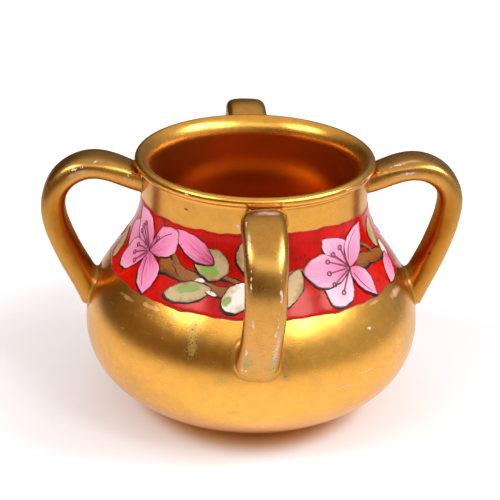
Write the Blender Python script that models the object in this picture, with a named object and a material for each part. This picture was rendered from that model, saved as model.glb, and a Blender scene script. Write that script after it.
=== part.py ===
"""Four-handled gilt porcelain cup with a red enamel band.

A turned porcelain body with a rolled lip and a foot ring carries four strap
handles. Each handle is a casting of its own, cut to the curve of the body and
luted to it with slip at the neck and on the belly. The slip stands round each
end of a handle as a low collar. A band of red enamel lies round the shoulder.

Sizes are in metres, +Z is up, and the origin is the middle of the foot's rest.
"""

import math

import bmesh
import bpy

MM = 0.001

# Body: the turned outline
CUP_HEIGHT = 74.0 * MM
LIP_ROLL = 1.4 * MM
LIP_OVERHANG = 1.8 * MM
NECK_RADIUS = 31.2 * MM
NECK_LENGTH = 7.2 * MM
BELLY_RADIUS = 46.8 * MM
BELLY_HEIGHT = 25.5 * MM
FOOT_RADIUS = 20.0 * MM
FOOT_RING_WIDTH = 3.5 * MM
FOOT_RECESS = 1.2 * MM
WALL = 3.0 * MM
FLOOR_THICKNESS = 3.4 * MM
SHOULDER_FULLNESS = 0.45
UNDERSIDE_FULLNESS = 0.55
UNDERSIDE_RISE = math.radians(17)

# Handles: the strap's middle line, down from the lip and out past the belly, and its section
HANDLE_SIDES = ("right", "back", "left", "front")
HANDLE_BELOW_LIP = 1.3 * MM
HANDLE_NECK_RISE = math.radians(18)
HANDLE_CREST_RISE = 3.8 * MM
HANDLE_PAST_BELLY = 8.3 * MM
HANDLE_BEND_WIDTH = 11.1 * MM
HANDLE_BEND_DEPTH = 11.0 * MM
HANDLE_ABOVE_BELLY = 8.2 * MM
HANDLE_BELLY_LEAN = math.radians(25)
HANDLE_NECK_WIDTH = 10.9 * MM
HANDLE_BELLY_WIDTH = 10.6 * MM
HANDLE_NECK_THICKNESS = 6.0 * MM
HANDLE_BELLY_THICKNESS = 7.4 * MM
HANDLE_CHAMFER = 1.6 * MM
HANDLE_EDGE = 0.4 * MM

# Slip collars and enamel
SEAM_GAP = 0.3 * MM
COLLAR_WIDTH = 1.5 * MM
COLLAR_HEIGHT = 1.0 * MM
ENAMEL_BELOW_NECK = 0.8 * MM
ENAMEL_DEPTH = 20.3 * MM
ENAMEL_THICKNESS = 0.4 * MM

# Heights that follow from these
LIP_UNDERSIDE = CUP_HEIGHT - 2 * LIP_ROLL
SHOULDER_TOP = LIP_UNDERSIDE - NECK_LENGTH
ENAMEL_TOP = SHOULDER_TOP - ENAMEL_BELOW_NECK
ENAMEL_BOTTOM = ENAMEL_TOP - ENAMEL_DEPTH

# Fineness of the meshes
BODY_STEPS = 64
CURVE_POINTS = 10
LIP_POINTS = 4
STRAP_POINTS = 7
MERGE_WITHIN = 0.01 * MM
SMOOTH_BELOW = math.radians(40)
QUARTER_ARC = 0.5523
DIAGONAL = math.sqrt(0.5)

GOLD = (0.66, 0.36, 0.07)
SLIP_GOLD = (0.58, 0.31, 0.06)
RED = (0.56, 0.02, 0.01)


def bezier(start, pull_start, pull_end, end, count):
    """Points of a cubic curve, both ends included."""
    points = []
    for i in range(count):
        t = i / (count - 1)
        weights = ((1 - t) ** 3, 3 * t * (1 - t) ** 2, 3 * t * t * (1 - t), t**3)
        points.append(
            tuple(
                sum(w * p[axis] for w, p in zip(weights, (start, pull_start, pull_end, end)))
                for axis in (0, 1)
            )
        )
    return points


def left_of(start, end):
    """The unit normal to the left of a line from start to end."""
    run, rise = end[0] - start[0], end[1] - start[1]
    length = math.hypot(run, rise)
    return (-rise / length, run / length)


def moved_out(points, distance, closed=False):
    """An outline with every side moved to its left, which is outwards where it runs down its outer side."""
    count = len(points)
    sides = [left_of(points[i], points[(i + 1) % count]) for i in range(count if closed else count - 1)]
    moved = []
    for i, (across, along) in enumerate(points):
        before = sides[i - 1] if closed or i > 0 else sides[0]
        after = sides[i] if closed or i < count - 1 else sides[-1]
        mitre = distance / (1 + before[0] * after[0] + before[1] * after[1])
        moved.append((across + mitre * (before[0] + after[0]), along + mitre * (before[1] + after[1])))
    return moved


def wall_outline():
    """The wall's outside from neck to foot: an S down to the belly, then the underside."""
    pull = SHOULDER_FULLNESS * (SHOULDER_TOP - BELLY_HEIGHT)
    shoulder = bezier(
        (NECK_RADIUS, SHOULDER_TOP),
        (NECK_RADIUS, SHOULDER_TOP - pull),
        (BELLY_RADIUS, BELLY_HEIGHT + pull),
        (BELLY_RADIUS, BELLY_HEIGHT),
        CURVE_POINTS + 2,
    )
    reach = UNDERSIDE_FULLNESS * (BELLY_RADIUS - FOOT_RADIUS)
    underside = bezier(
        (BELLY_RADIUS, BELLY_HEIGHT),
        (BELLY_RADIUS, BELLY_HEIGHT * (1 - UNDERSIDE_FULLNESS)),
        (FOOT_RADIUS + reach * math.cos(UNDERSIDE_RISE), reach * math.sin(UNDERSIDE_RISE)),
        (FOOT_RADIUS, 0.0),
        CURVE_POINTS,
    )
    return shoulder + underside[1:]


def lip_outline():
    """The roll of the lip, from its inner side over the top and round to the corner under it."""
    middle = (NECK_RADIUS + LIP_OVERHANG - LIP_ROLL, CUP_HEIGHT - LIP_ROLL)
    angles = [math.pi * (1 - i / (2 * LIP_POINTS)) for i in range(3 * LIP_POINTS + 1)]
    roll = [(middle[0] + LIP_ROLL * math.cos(a), middle[1] + LIP_ROLL * math.sin(a)) for a in angles]
    return roll + [(NECK_RADIUS, LIP_UNDERSIDE)]


def outside_outline():
    return lip_outline() + wall_outline()


def inside_outline():
    """The hollow's outline from the middle of its floor up to the neck: the wall's outside moved in."""
    floor = FOOT_RECESS + FLOOR_THICKNESS
    inner = [p for p in moved_out(wall_outline(), -WALL) if p[1] > floor]
    low, lower = inner[-1], inner[-2]
    share = (low[1] - floor) / (lower[1] - low[1])
    corner = (low[0] - share * (lower[0] - low[0]), floor)
    return [(0.0, floor), corner] + inner[::-1]


def foot_outline():
    """The foot ring's rest and the recess inside it, from the wall's lower edge to the axis."""
    inner = FOOT_RADIUS - FOOT_RING_WIDTH
    return [(inner, 0.0), (inner - FOOT_RECESS, FOOT_RECESS), (0.0, FOOT_RECESS)]


def outer_radius(height):
    """The radius of the wall's outside at a height between the foot and the neck."""
    points = wall_outline()
    for upper, lower in zip(points, points[1:]):
        if lower[1] <= height <= upper[1]:
            share = (height - lower[1]) / (upper[1] - lower[1])
            return lower[0] + share * (upper[0] - lower[0])
    return NECK_RADIUS


def wall_between(top, bottom):
    """The stretch of the wall's outline between two heights, cut exactly at both."""
    between = [p for p in wall_outline() if bottom < p[1] < top]
    return [(outer_radius(top), top)] + between + [(outer_radius(bottom), bottom)]


def handle_path():
    """Stations along a handle's middle line as (radius, height, run), with run going from 0 to 1.

    The line leaves the neck rising, turns from the crest to the reach in a quarter arc,
    and comes down in a long lean to the belly. Both ends run on into the wall.
    """
    neck = (NECK_RADIUS, LIP_UNDERSIDE - HANDLE_BELOW_LIP - HANDLE_NECK_THICKNESS / 2)
    reach_out = BELLY_RADIUS + HANDLE_PAST_BELLY
    crest = (reach_out - HANDLE_BEND_WIDTH, neck[1] + HANDLE_CREST_RISE)
    reach = (reach_out, crest[1] - HANDLE_BEND_DEPTH)
    belly_height = BELLY_HEIGHT + HANDLE_ABOVE_BELLY
    belly = (outer_radius(belly_height), belly_height)
    rise = (math.cos(HANDLE_NECK_RISE), math.sin(HANDLE_NECK_RISE))
    lean = (math.sin(HANDLE_BELLY_LEAN), math.cos(HANDLE_BELLY_LEAN))
    pull = (crest[0] - neck[0]) / 3
    drop = (reach[1] - belly[1]) / 3
    to_crest = bezier(
        neck,
        (neck[0] + pull * rise[0], neck[1] + pull * rise[1]),
        (crest[0] - pull, crest[1]),
        crest,
        STRAP_POINTS,
    )
    to_reach = bezier(
        crest,
        (crest[0] + QUARTER_ARC * (reach[0] - crest[0]), crest[1]),
        (reach[0], reach[1] + QUARTER_ARC * (crest[1] - reach[1])),
        reach,
        STRAP_POINTS,
    )
    to_belly = bezier(
        reach,
        (reach[0], reach[1] - drop),
        (belly[0] + drop * lean[0], belly[1] + drop * lean[1]),
        belly,
        STRAP_POINTS,
    )
    start = (neck[0] - WALL * rise[0], neck[1] - WALL * rise[1])
    bury = HANDLE_BELLY_THICKNESS
    finish = (belly[0] - bury * lean[0], belly[1] - bury * lean[1])
    points = [start] + to_crest + to_reach[1:] + to_belly[1:] + [finish]
    last = len(points) - 1
    return [(radius, height, i / last) for i, (radius, height) in enumerate(points)]


def section(width, thickness):
    """The strap's cross-section as (across, through) points: a rectangle with chamfers and eased edges."""
    half, deep, ease = width / 2, thickness / 2, HANDLE_EDGE
    chamfer = min(HANDLE_CHAMFER, deep - 2 * ease)
    corner = [
        (half - chamfer - ease, deep),
        (half - chamfer + ease * DIAGONAL, deep - ease * DIAGONAL),
        (half - ease * DIAGONAL, deep - chamfer + ease * DIAGONAL),
        (half, deep - chamfer - ease),
    ]
    right = corner + [(across, -through) for across, through in corner[::-1]]
    return right + [(-across, -through) for across, through in right]


def strap_mesh(name, stations, grow):
    """The strap's section carried along its stations and grown all round, with both ends capped."""
    shape = bmesh.new()
    rings = []
    for i, (radius, height, run) in enumerate(stations):
        out = left_of(stations[max(i - 1, 0)], stations[min(i + 1, len(stations) - 1)])
        width = HANDLE_NECK_WIDTH + run * (HANDLE_BELLY_WIDTH - HANDLE_NECK_WIDTH)
        thickness = HANDLE_NECK_THICKNESS + run * (HANDLE_BELLY_THICKNESS - HANDLE_NECK_THICKNESS)
        outline = moved_out(section(width, thickness), grow, closed=True)
        rings.append(
            [
                shape.verts.new((radius + through * out[0], across, height + through * out[1]))
                for across, through in outline
            ]
        )
    for ring, following in zip(rings, rings[1:]):
        for i, j in zip(range(-1, len(ring) - 1), range(len(ring))):
            shape.faces.new((ring[i], ring[j], following[j], following[i]))
    shape.faces.new(rings[0])
    shape.faces.new(rings[-1])
    bmesh.ops.recalc_face_normals(shape, faces=shape.faces)
    mesh = bpy.data.meshes.new(name)
    shape.to_mesh(mesh)
    shape.free()
    mesh.shade_smooth()
    mesh.set_sharp_from_angle(angle=SMOOTH_BELOW)
    return mesh


def place(name, mesh, parent, material=None, turn=0.0):
    """An object on the cup's axis, turned about it."""
    piece = bpy.data.objects.new(name, mesh)
    bpy.context.scene.collection.objects.link(piece)
    piece.parent = parent
    piece.rotation_euler.z = turn
    if material:
        mesh.materials.append(material)
    return piece


def as_helper(piece):
    """A cutter or limit, which is no piece of the cup."""
    piece.hide_render = True
    piece.display_type = "WIRE"
    return piece


def turned(name, outline, parent, material=None, closed=False):
    """A solid of revolution from an outline that runs down its outer side."""
    count = len(outline)
    edges = [(i, i + 1) for i in range(count - 1)]
    if closed:
        edges.append((count - 1, 0))
    mesh = bpy.data.meshes.new(name)
    mesh.from_pydata([(radius, 0.0, height) for radius, height in outline], edges, [])
    piece = place(name, mesh, parent, material)
    lathe = piece.modifiers.new("lathe", "SCREW")
    lathe.steps = BODY_STEPS
    lathe.render_steps = BODY_STEPS
    lathe.use_merge_vertices = True
    lathe.merge_threshold = MERGE_WITHIN
    lathe.use_smooth_shade = True
    return piece


def turned_block(name, outside, distance, parent):
    """A helper: an outside of the cup, filled and moved outwards."""
    moved = moved_out(outside, distance)
    outline = [(0.0, moved[0][1])] + moved + [(0.0, moved[-1][1])]
    return as_helper(turned(name, outline, parent))


def enamel_outline(inner, outer, margin):
    """A closed outline of a layer on the shoulder, between two distances from the wall."""
    stretch = wall_between(ENAMEL_TOP + margin, ENAMEL_BOTTOM - margin)
    return moved_out(stretch, outer) + moved_out(stretch, inner)[::-1]


def cut(piece, operation, other):
    """One Boolean step on a piece."""
    step = piece.modifiers.new(operation.lower() + "_" + other.name, "BOOLEAN")
    step.operation = operation
    step.object = other
    step.solver = "EXACT"


def material(name, colour, roughness, metallic):
    made = bpy.data.materials.new(name)
    made.use_nodes = True
    made.diffuse_color = (*colour, 1.0)
    shader = made.node_tree.nodes["Principled BSDF"]
    shader.inputs["Base Color"].default_value = (*colour, 1.0)
    shader.inputs["Roughness"].default_value = roughness
    shader.inputs["Metallic"].default_value = metallic
    return made


def build_body(parent):
    outline = inside_outline() + outside_outline() + foot_outline()
    return turned("cup_body", outline, parent, material("gilt_porcelain", GOLD, 0.3, 1.0))


def build_enamel(parent):
    outline = enamel_outline(SEAM_GAP, SEAM_GAP + ENAMEL_THICKNESS, 0.0)
    red = material("red_enamel", RED, 0.15, 0.0)
    return turned("enamel_band", outline, parent, red, closed=True)


def build_handle(side, turn, parent, limits):
    """One handle and the two slip collars that lute it to the neck and the belly."""
    stations = handle_path()
    gold = material("gilt_handle_" + side, GOLD, 0.3, 1.0)
    slip = material("gilt_slip_" + side, SLIP_GOLD, 0.4, 1.0)
    handle = place("handle_" + side, strap_mesh("handle_" + side, stations, 0.0), parent, gold, turn)
    for other in (limits["body"], limits["enamel"]):
        cut(handle, "DIFFERENCE", other)
    room_mesh = strap_mesh("handle_room_" + side, stations, SEAM_GAP)
    room = as_helper(place("handle_room_" + side, room_mesh, parent, turn=turn))
    crest, reach = STRAP_POINTS, 2 * STRAP_POINTS - 1
    for joint, stretch in (("neck", stations[: crest + 1]), ("belly", stations[reach:])):
        name = joint + "_slip_" + side
        collar = place(name, strap_mesh(name, stretch, SEAM_GAP + COLLAR_WIDTH), parent, slip, turn)
        cut(collar, "INTERSECT", limits["collar"])
        for other in (room, limits["body"], limits["enamel"]):
            cut(collar, "DIFFERENCE", other)


def main():
    for leftover in list(bpy.data.objects):
        bpy.data.objects.remove(leftover)
    axis = bpy.data.objects.new("cup_axis", None)
    bpy.context.scene.collection.objects.link(axis)
    build_body(axis)
    build_enamel(axis)
    enamel_room = enamel_outline(-WALL / 2, 2 * SEAM_GAP + ENAMEL_THICKNESS, SEAM_GAP)
    straight_neck = [(NECK_RADIUS, CUP_HEIGHT)] + wall_outline()
    limits = {
        "body": turned_block("body_room", outside_outline(), SEAM_GAP, axis),
        "collar": turned_block("collar_limit", straight_neck, SEAM_GAP + COLLAR_HEIGHT, axis),
        "enamel": as_helper(turned("enamel_room", enamel_room, axis, closed=True)),
    }
    for i, side in enumerate(HANDLE_SIDES):
        build_handle(side, 2 * math.pi * i / len(HANDLE_SIDES), axis, limits)


main()
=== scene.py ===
"""Looks of a four-handled gilt porcelain cup with a red enamel band of painted blossom.

The file is laid out as a Blender add-on and run as a script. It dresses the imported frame: the
turned body, four strap handles, the slip that lutes them on, the enamel band and its painting.

Azimuths run from the front (-Y) towards the right (+X). A place on the wall is its azimuth and
its run, the distance down the wall's outline from under the lip. Lengths are in metres.
"""

import math
from collections import namedtuple

import bmesh
import bpy
import numpy as np
from bpy.props import FloatProperty, FloatVectorProperty, PointerProperty
from mathutils import Matrix, Vector


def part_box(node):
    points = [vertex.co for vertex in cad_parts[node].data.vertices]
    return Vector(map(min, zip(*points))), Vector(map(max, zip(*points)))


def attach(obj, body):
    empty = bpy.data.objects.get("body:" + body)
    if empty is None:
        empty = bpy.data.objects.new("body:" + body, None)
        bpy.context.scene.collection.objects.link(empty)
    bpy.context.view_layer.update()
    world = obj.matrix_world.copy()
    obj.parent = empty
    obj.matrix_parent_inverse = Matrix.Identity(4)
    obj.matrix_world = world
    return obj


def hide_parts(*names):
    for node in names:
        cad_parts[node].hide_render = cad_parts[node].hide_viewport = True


bl_info = {
    "name": "Gilt Four-Handled Cup",
    "version": (1, 0, 0),
    "blender": (4, 5, 0),
    "location": "View3D > Sidebar > Cup",
    "description": "Builds a gilt porcelain cup with four handles and a painted enamel band",
    "category": "Add Mesh",
}

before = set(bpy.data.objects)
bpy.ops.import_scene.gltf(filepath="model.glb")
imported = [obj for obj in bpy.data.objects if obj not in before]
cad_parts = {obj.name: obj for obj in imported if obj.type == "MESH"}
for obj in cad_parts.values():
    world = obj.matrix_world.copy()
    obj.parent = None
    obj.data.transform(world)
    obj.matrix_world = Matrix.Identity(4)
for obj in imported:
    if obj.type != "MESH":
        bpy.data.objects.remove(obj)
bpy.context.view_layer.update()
BODY_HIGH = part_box("cup_body")[1]
BAND_LOW, BAND_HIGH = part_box("enamel_band")
HANDLE_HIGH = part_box("handle_right")[1]

# One millimetre, and a length too small to matter
MM = 0.001
TINY = 1e-12

# The body that carries every piece
BODY = "root"

# Points nearer than this are merged, and edges that fold by more than this stay crisp
MERGE_WITHIN = 0.0005 * MM
FOLD = math.radians(42)

# The azimuth that each handle points to
HANDLE_AZIMUTHS = {
    "front": 0.0,
    "right": math.pi / 2,
    "back": math.pi,
    "left": -math.pi / 2,
}


def linear(colour):
    """An sRGB hex colour as linear red, green, blue and an alpha of 1."""
    parts = np.array([int(colour[i : i + 2], 16) for i in (1, 3, 5)]) / 255
    curve = ((parts + 0.055) / 1.055) ** 2.4
    return (*np.where(parts <= 0.04045, parts / 12.92, curve), 1.0)


def plain_setting(name, description, default, **kind):
    """A number that a user may change."""
    return FloatProperty(name=name, description=description, default=default, **kind)


def size_setting(name, description, default):
    """A length that a user may change."""
    return plain_setting(name, description, default, unit="LENGTH")


def share_setting(name, description, default):
    """A share of a whole that a user may change."""
    return plain_setting(name, description, default, subtype="FACTOR")


def angle_setting(name, description, degrees):
    """An angle that a user may change."""
    return plain_setting(name, description, math.radians(degrees), subtype="ANGLE")


def colour_setting(name, description, colour):
    """A colour, given in sRGB hex, that a user may change."""
    return FloatVectorProperty(
        name=name, description=description, default=linear(colour), size=4, subtype="COLOR"
    )


class CupSizes(bpy.types.PropertyGroup):
    """The turned body's outline."""

    height: size_setting("Height", "From the foot's rest to the top of the lip", BODY_HIGH.z)
    belly_radius: size_setting("Belly radius", "Outside radius at the widest place", BODY_HIGH.x)
    belly_height: size_setting("Belly height", "Height of the widest place", 25.5 * MM)
    neck_radius: size_setting("Neck radius", "Outside radius of the straight neck", 31.2 * MM)
    neck_length: size_setting(
        "Neck length", "Straight neck between the lip and the shoulder", 7.2 * MM
    )
    lip_roll: size_setting("Lip roll", "Radius of the rolled lip", 1.4 * MM)
    lip_overhang: size_setting("Lip overhang", "How far the lip stands out past the neck", 1.8 * MM)
    foot_radius: size_setting("Foot radius", "Outside radius of the foot's rest", 20.0 * MM)
    foot_ring: size_setting("Foot ring", "Width of the ring that the cup rests on", 3.5 * MM)
    foot_recess: size_setting("Foot recess", "Depth of the hollow inside the foot ring", 1.2 * MM)
    wall: size_setting("Wall", "Thickness of the porcelain wall", 3.0 * MM)
    floor: size_setting("Floor", "Thickness of the porcelain under the inside floor", 3.4 * MM)
    shoulder_fullness: share_setting(
        "Shoulder fullness", "How far the neck and the belly hold their lines into the shoulder", 0.45
    )
    underside_fullness: share_setting(
        "Underside fullness", "How far the belly holds its line into the underside", 0.55
    )
    underside_rise: angle_setting(
        "Underside rise", "Slope at which the underside leaves the foot", 17
    )
    sway: size_setting("Sway", "Unevenness of the hand-finished wall", 0.06 * MM)


class HandleSizes(bpy.types.PropertyGroup):
    """One strap handle: its middle line, its section and the slip at its ends."""

    below_lip: size_setting("Below lip", "Neck left bare between the lip and the strap", 1.3 * MM)
    neck_rise: angle_setting("Neck rise", "Slope at which the strap leaves the neck", 18)
    crest_rise: size_setting(
        "Crest rise", "Height of the crest above the joint at the neck", 3.8 * MM
    )
    bend_width: size_setting("Bend width", "From the crest out to the furthest reach", 11.1 * MM)
    bend_depth: size_setting("Bend depth", "From the crest down to the furthest reach", 11.0 * MM)
    above_belly: size_setting(
        "Above belly", "Height of the lower joint above the widest place", 8.2 * MM
    )
    belly_lean: angle_setting("Belly lean", "Lean of the strap where it meets the belly", 25)
    reach: size_setting(
        "Reach", "Radius of the strap's outer face where it stands out most", HANDLE_HIGH.x
    )
    neck_width: size_setting("Width at the neck", "Strap width at the neck", 10.9 * MM)
    belly_width: size_setting("Width at the belly", "Strap width at the belly", 10.6 * MM)
    neck_thickness: size_setting("Thickness at the neck", "Strap thickness at the neck", 6.0 * MM)
    belly_thickness: size_setting(
        "Thickness at the belly", "Strap thickness at the belly", 7.4 * MM
    )
    edge_round: share_setting(
        "Edge round", "Radius of the strap's rounded edges as a share of its thickness", 0.42
    )
    step: size_setting(
        "Step at the belly", "How far the blunt lower end stands off the belly", 1.6 * MM
    )
    end_flare: share_setting("End flare", "Share by which the strap widens at its two joints", 0.08)
    lumps: share_setting("Lumps", "Share by which the hand-rolled strap swells and thins", 0.02)
    slip_width: size_setting("Slip width", "Width of the slip fillet on the wall", 1.3 * MM)
    slip_height: size_setting("Slip height", "Height of the slip fillet up the strap", 1.0 * MM)


class PaintSizes(bpy.types.PropertyGroup):
    """The enamel band and how thickly it is painted."""

    band_top: size_setting("Band top", "Height of the band's upper edge", BAND_HIGH.z)
    band_bottom: size_setting("Band bottom", "Height of the band's lower edge", BAND_LOW.z)
    band_thickness: size_setting(
        "Band thickness", "How far the fired red enamel stands off the wall", 0.14 * MM
    )
    line_width: size_setting(
        "Line width", "Width of the dark lines drawn round petals and leaves", 0.36 * MM
    )


class CupColours(bpy.types.PropertyGroup):
    """Colours of the gilding and the enamels."""

    gold: colour_setting("Gold", "Burnished gold", "#f1b149")
    dull_gold: colour_setting("Dull gold", "Gold of the handles, filmed by wear", "#cf9747")
    # Painted shade of the hollow inside the cup
    hollow_shade_gold: colour_setting("Deep gold", "Gold on the inside of the cup", "#e88826")
    matt_gold: colour_setting("Matt gold", "Unburnished gold on the floor of the cup", "#a3540e")
    # Partly unburnished gold, partly painted shade on the handles' inner sides and the side handles' legs
    brown_gold_and_shade: colour_setting(
        "Brown gold", "Gold on the inner sides of the handles, which the burnisher reaches least", "#b47013"
    )
    porcelain: colour_setting("Porcelain", "Porcelain where the gold is rubbed through", "#d9c3c9")
    tarnish: colour_setting("Tarnish", "Grey-green film on the gold", "#b0984f")
    olive: colour_setting(
        "Olive gold", "Greener gold in clouds on the body and at the bends of the handles", "#b39a52"
    )
    # Dark dirt in specks, and painted shade in the creases under the lip and along the slip by the straps
    grime_and_shade: colour_setting("Grime", "Dark dirt in creases and specks", "#4a2a10")
    red: colour_setting("Red enamel", "Ground colour of the band", "#b40803")
    pink: colour_setting("Pink enamel", "Petals", "#e080ab")
    rose: colour_setting("Rose enamel", "Deep pink in the hearts of blossoms", "#b23a68")
    white: colour_setting("White enamel", "Pale petals and buds", "#e2cbd6")
    milk: colour_setting("Milk enamel", "White buds", "#e6ddd6")
    cream: colour_setting("Cream enamel", "Leaves and sepals", "#b89f74")
    green: colour_setting("Green enamel", "Green touches on leaves", "#7b9a3f")
    brown: colour_setting("Brown enamel", "Twigs", "#8a5019")
    tan: colour_setting("Tan enamel", "Edges of leaves", "#8a6a3c")
    mauve: colour_setting("Mauve enamel", "Stamens", "#743c4c")
    line: colour_setting("Line enamel", "Dark drawn lines", "#1c0c0a")


class StageSettings(bpy.types.PropertyGroup):
    """Camera, floor and lights."""

    camera_distance: size_setting(
        "Camera distance", "From the camera to the point it looks at", 462 * MM
    )
    camera_elevation: angle_setting("Camera elevation", "Angle of the view above the floor", 24.29)
    camera_swing: angle_setting("Camera swing", "Angle of the view to the left of the front", 3.07)
    camera_roll: angle_setting("Camera roll", "Turn of the picture about the view's axis", 1.43)
    aim_height: size_setting(
        "Aim height", "Height of the point that the camera looks at", 45.06 * MM
    )
    aim_left: size_setting("Aim left", "How far left of the cup's axis the camera looks", 0.8 * MM)
    lens: plain_setting("Lens", "Focal length in millimetres", 118.55, unit="CAMERA")
    floor_colour: colour_setting("Floor", "Pale floor", "#edecf5")
    glow_colour: colour_setting(
        "Glow colour", "Colour of the board by the foot, where the gilding throws its light", "#efc695"
    )
    left_light: plain_setting("Left light", "Brightness of the softbox on the left", 6.6)
    right_light: plain_setting("Right light", "Brightness of the two softboxes on the right", 10.0)
    fill: plain_setting(
        "Fill", "Brightness of the fills all round, which the gilding doesn't mirror", 1.1
    )
    zenith: colour_setting("Zenith", "Light of the room overhead", "#dfd7c8")
    behind: share_setting(
        "Behind", "Brightness of the walls behind the cup, as a share of those in front", 0.45
    )
    dark_side: colour_setting("Dark side", "Brown of the room at the left", "#735930")
    light_side: colour_setting("Light side", "Grey of the room at the right", "#bcb8b1")


# Meshes


def bezier(start, pull_start, pull_end, end, count):
    """Points of a cubic Bezier curve: corners weighed by (1-t)^3, 3t(1-t)^2, 3t^2(1-t) and t^3."""
    t = np.linspace(0.0, 1.0, count)[:, None]
    weights = np.hstack([(1 - t) ** 3, 3 * t * (1 - t) ** 2, 3 * t**2 * (1 - t), t**3])
    return weights @ np.array([start, pull_start, pull_end, end], float)


def smooth_step(low, high, values):
    """0 below low, 1 above high and 3x^2 - 2x^3 between them."""
    share = np.clip((values - low) / (high - low), 0.0, 1.0)
    return share * share * (3 - 2 * share)


def bell(values):
    """A soft hump: exp(-x^2)."""
    return np.exp(-(values**2))


def around(count):
    """Angles spaced evenly round a full turn."""
    return np.arange(count) * 2 * math.pi / count


def short_way(angles):
    """Angles brought to within half a turn of 0."""
    return (angles + math.pi) % (2 * math.pi) - math.pi


def azimuths(points):
    """Azimuths of points about the cup's axis."""
    return np.arctan2(points[..., 0], -points[..., 1])


def circle(angles):
    """Points of a circle of radius 1."""
    return np.stack([np.cos(angles), np.sin(angles)], axis=-1)


def about_axis(azimuth, radius, height):
    """Points at azimuths, radii and heights about the cup's axis."""
    return np.stack([radius * np.sin(azimuth), -radius * np.cos(azimuth), height], axis=-1)


def travelled(line):
    """Distance along a line to each of its points."""
    steps = np.linalg.norm(np.diff(line, axis=0), axis=1)
    return np.concatenate([[0.0], np.cumsum(steps)])


def along_loop(points, reach=1):
    """Directions along a closed line: at each point, from the one before it to the one after it."""
    return np.roll(points, -reach, axis=0) - np.roll(points, reach, axis=0)


def square_to(along):
    """Unit directions square to flat directions, to their left."""
    return unit(np.stack([-along[:, 1], along[:, 0]], axis=-1) + TINY)


def unit(vectors):
    """Vectors along the last axis, each divided by its length."""
    return vectors / np.linalg.norm(vectors, axis=-1, keepdims=True)


def grid_faces(rows, columns, wrap_rows, wrap_columns):
    """Corner numbers of a grid's quads, joined round where a direction wraps."""
    last_row = rows if wrap_rows else rows - 1
    last_column = columns if wrap_columns else columns - 1
    row, column = np.meshgrid(np.arange(last_row), np.arange(last_column), indexing="ij")
    next_row = (row + 1) % rows
    next_column = (column + 1) % columns
    corners = [
        row * columns + column,
        row * columns + next_column,
        next_row * columns + next_column,
        next_row * columns + column,
    ]
    return np.stack(corners, axis=-1).reshape(-1, 4)


Skin = namedtuple("Skin", "points wrap_rows wrap_columns marks")


def make_piece(name, skins, material, fold=None):
    """One object from closed grids, with poles and seams merged and faces turned outwards.

    A skin's points are rows by columns by 3, and its marks are named values for each point.
    Edges that fold by more than the fold angle stay crisp.
    """
    corners = np.concatenate([skin.points.reshape(-1, 3) for skin in skins])
    starts = np.cumsum([0] + [skin.points[..., 0].size for skin in skins])
    faces = np.concatenate(
        [
            start + grid_faces(*skin.points.shape[:2], skin.wrap_rows, skin.wrap_columns)
            for start, skin in zip(starts, skins)
        ]
    )
    mesh = bpy.data.meshes.new(name)
    mesh.vertices.add(len(corners))
    mesh.vertices.foreach_set("co", corners.ravel())
    mesh.loops.add(faces.size)
    mesh.loops.foreach_set("vertex_index", faces.ravel())
    mesh.polygons.add(len(faces))
    mesh.polygons.foreach_set("loop_start", np.arange(0, faces.size, 4))
    mesh.update(calc_edges=True)
    for mark in skins[0].marks:
        values = [np.broadcast_to(skin.marks[mark], skin.points.shape[:2]).ravel() for skin in skins]
        layer = mesh.attributes.new(mark, "FLOAT", "POINT")
        layer.data.foreach_set("value", np.concatenate(values).astype(np.float32))
    shape = bmesh.new()
    shape.from_mesh(mesh)
    bmesh.ops.remove_doubles(shape, verts=shape.verts, dist=MERGE_WITHIN)
    bmesh.ops.recalc_face_normals(shape, faces=shape.faces)
    shape.to_mesh(mesh)
    shape.free()
    mesh.shade_smooth()
    if fold is not None:
        mesh.set_sharp_from_angle(angle=fold)
    mesh.materials.append(material)
    piece = bpy.data.objects.new(name, mesh)
    bpy.context.scene.collection.objects.link(piece)
    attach(piece, BODY)
    return piece


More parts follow.
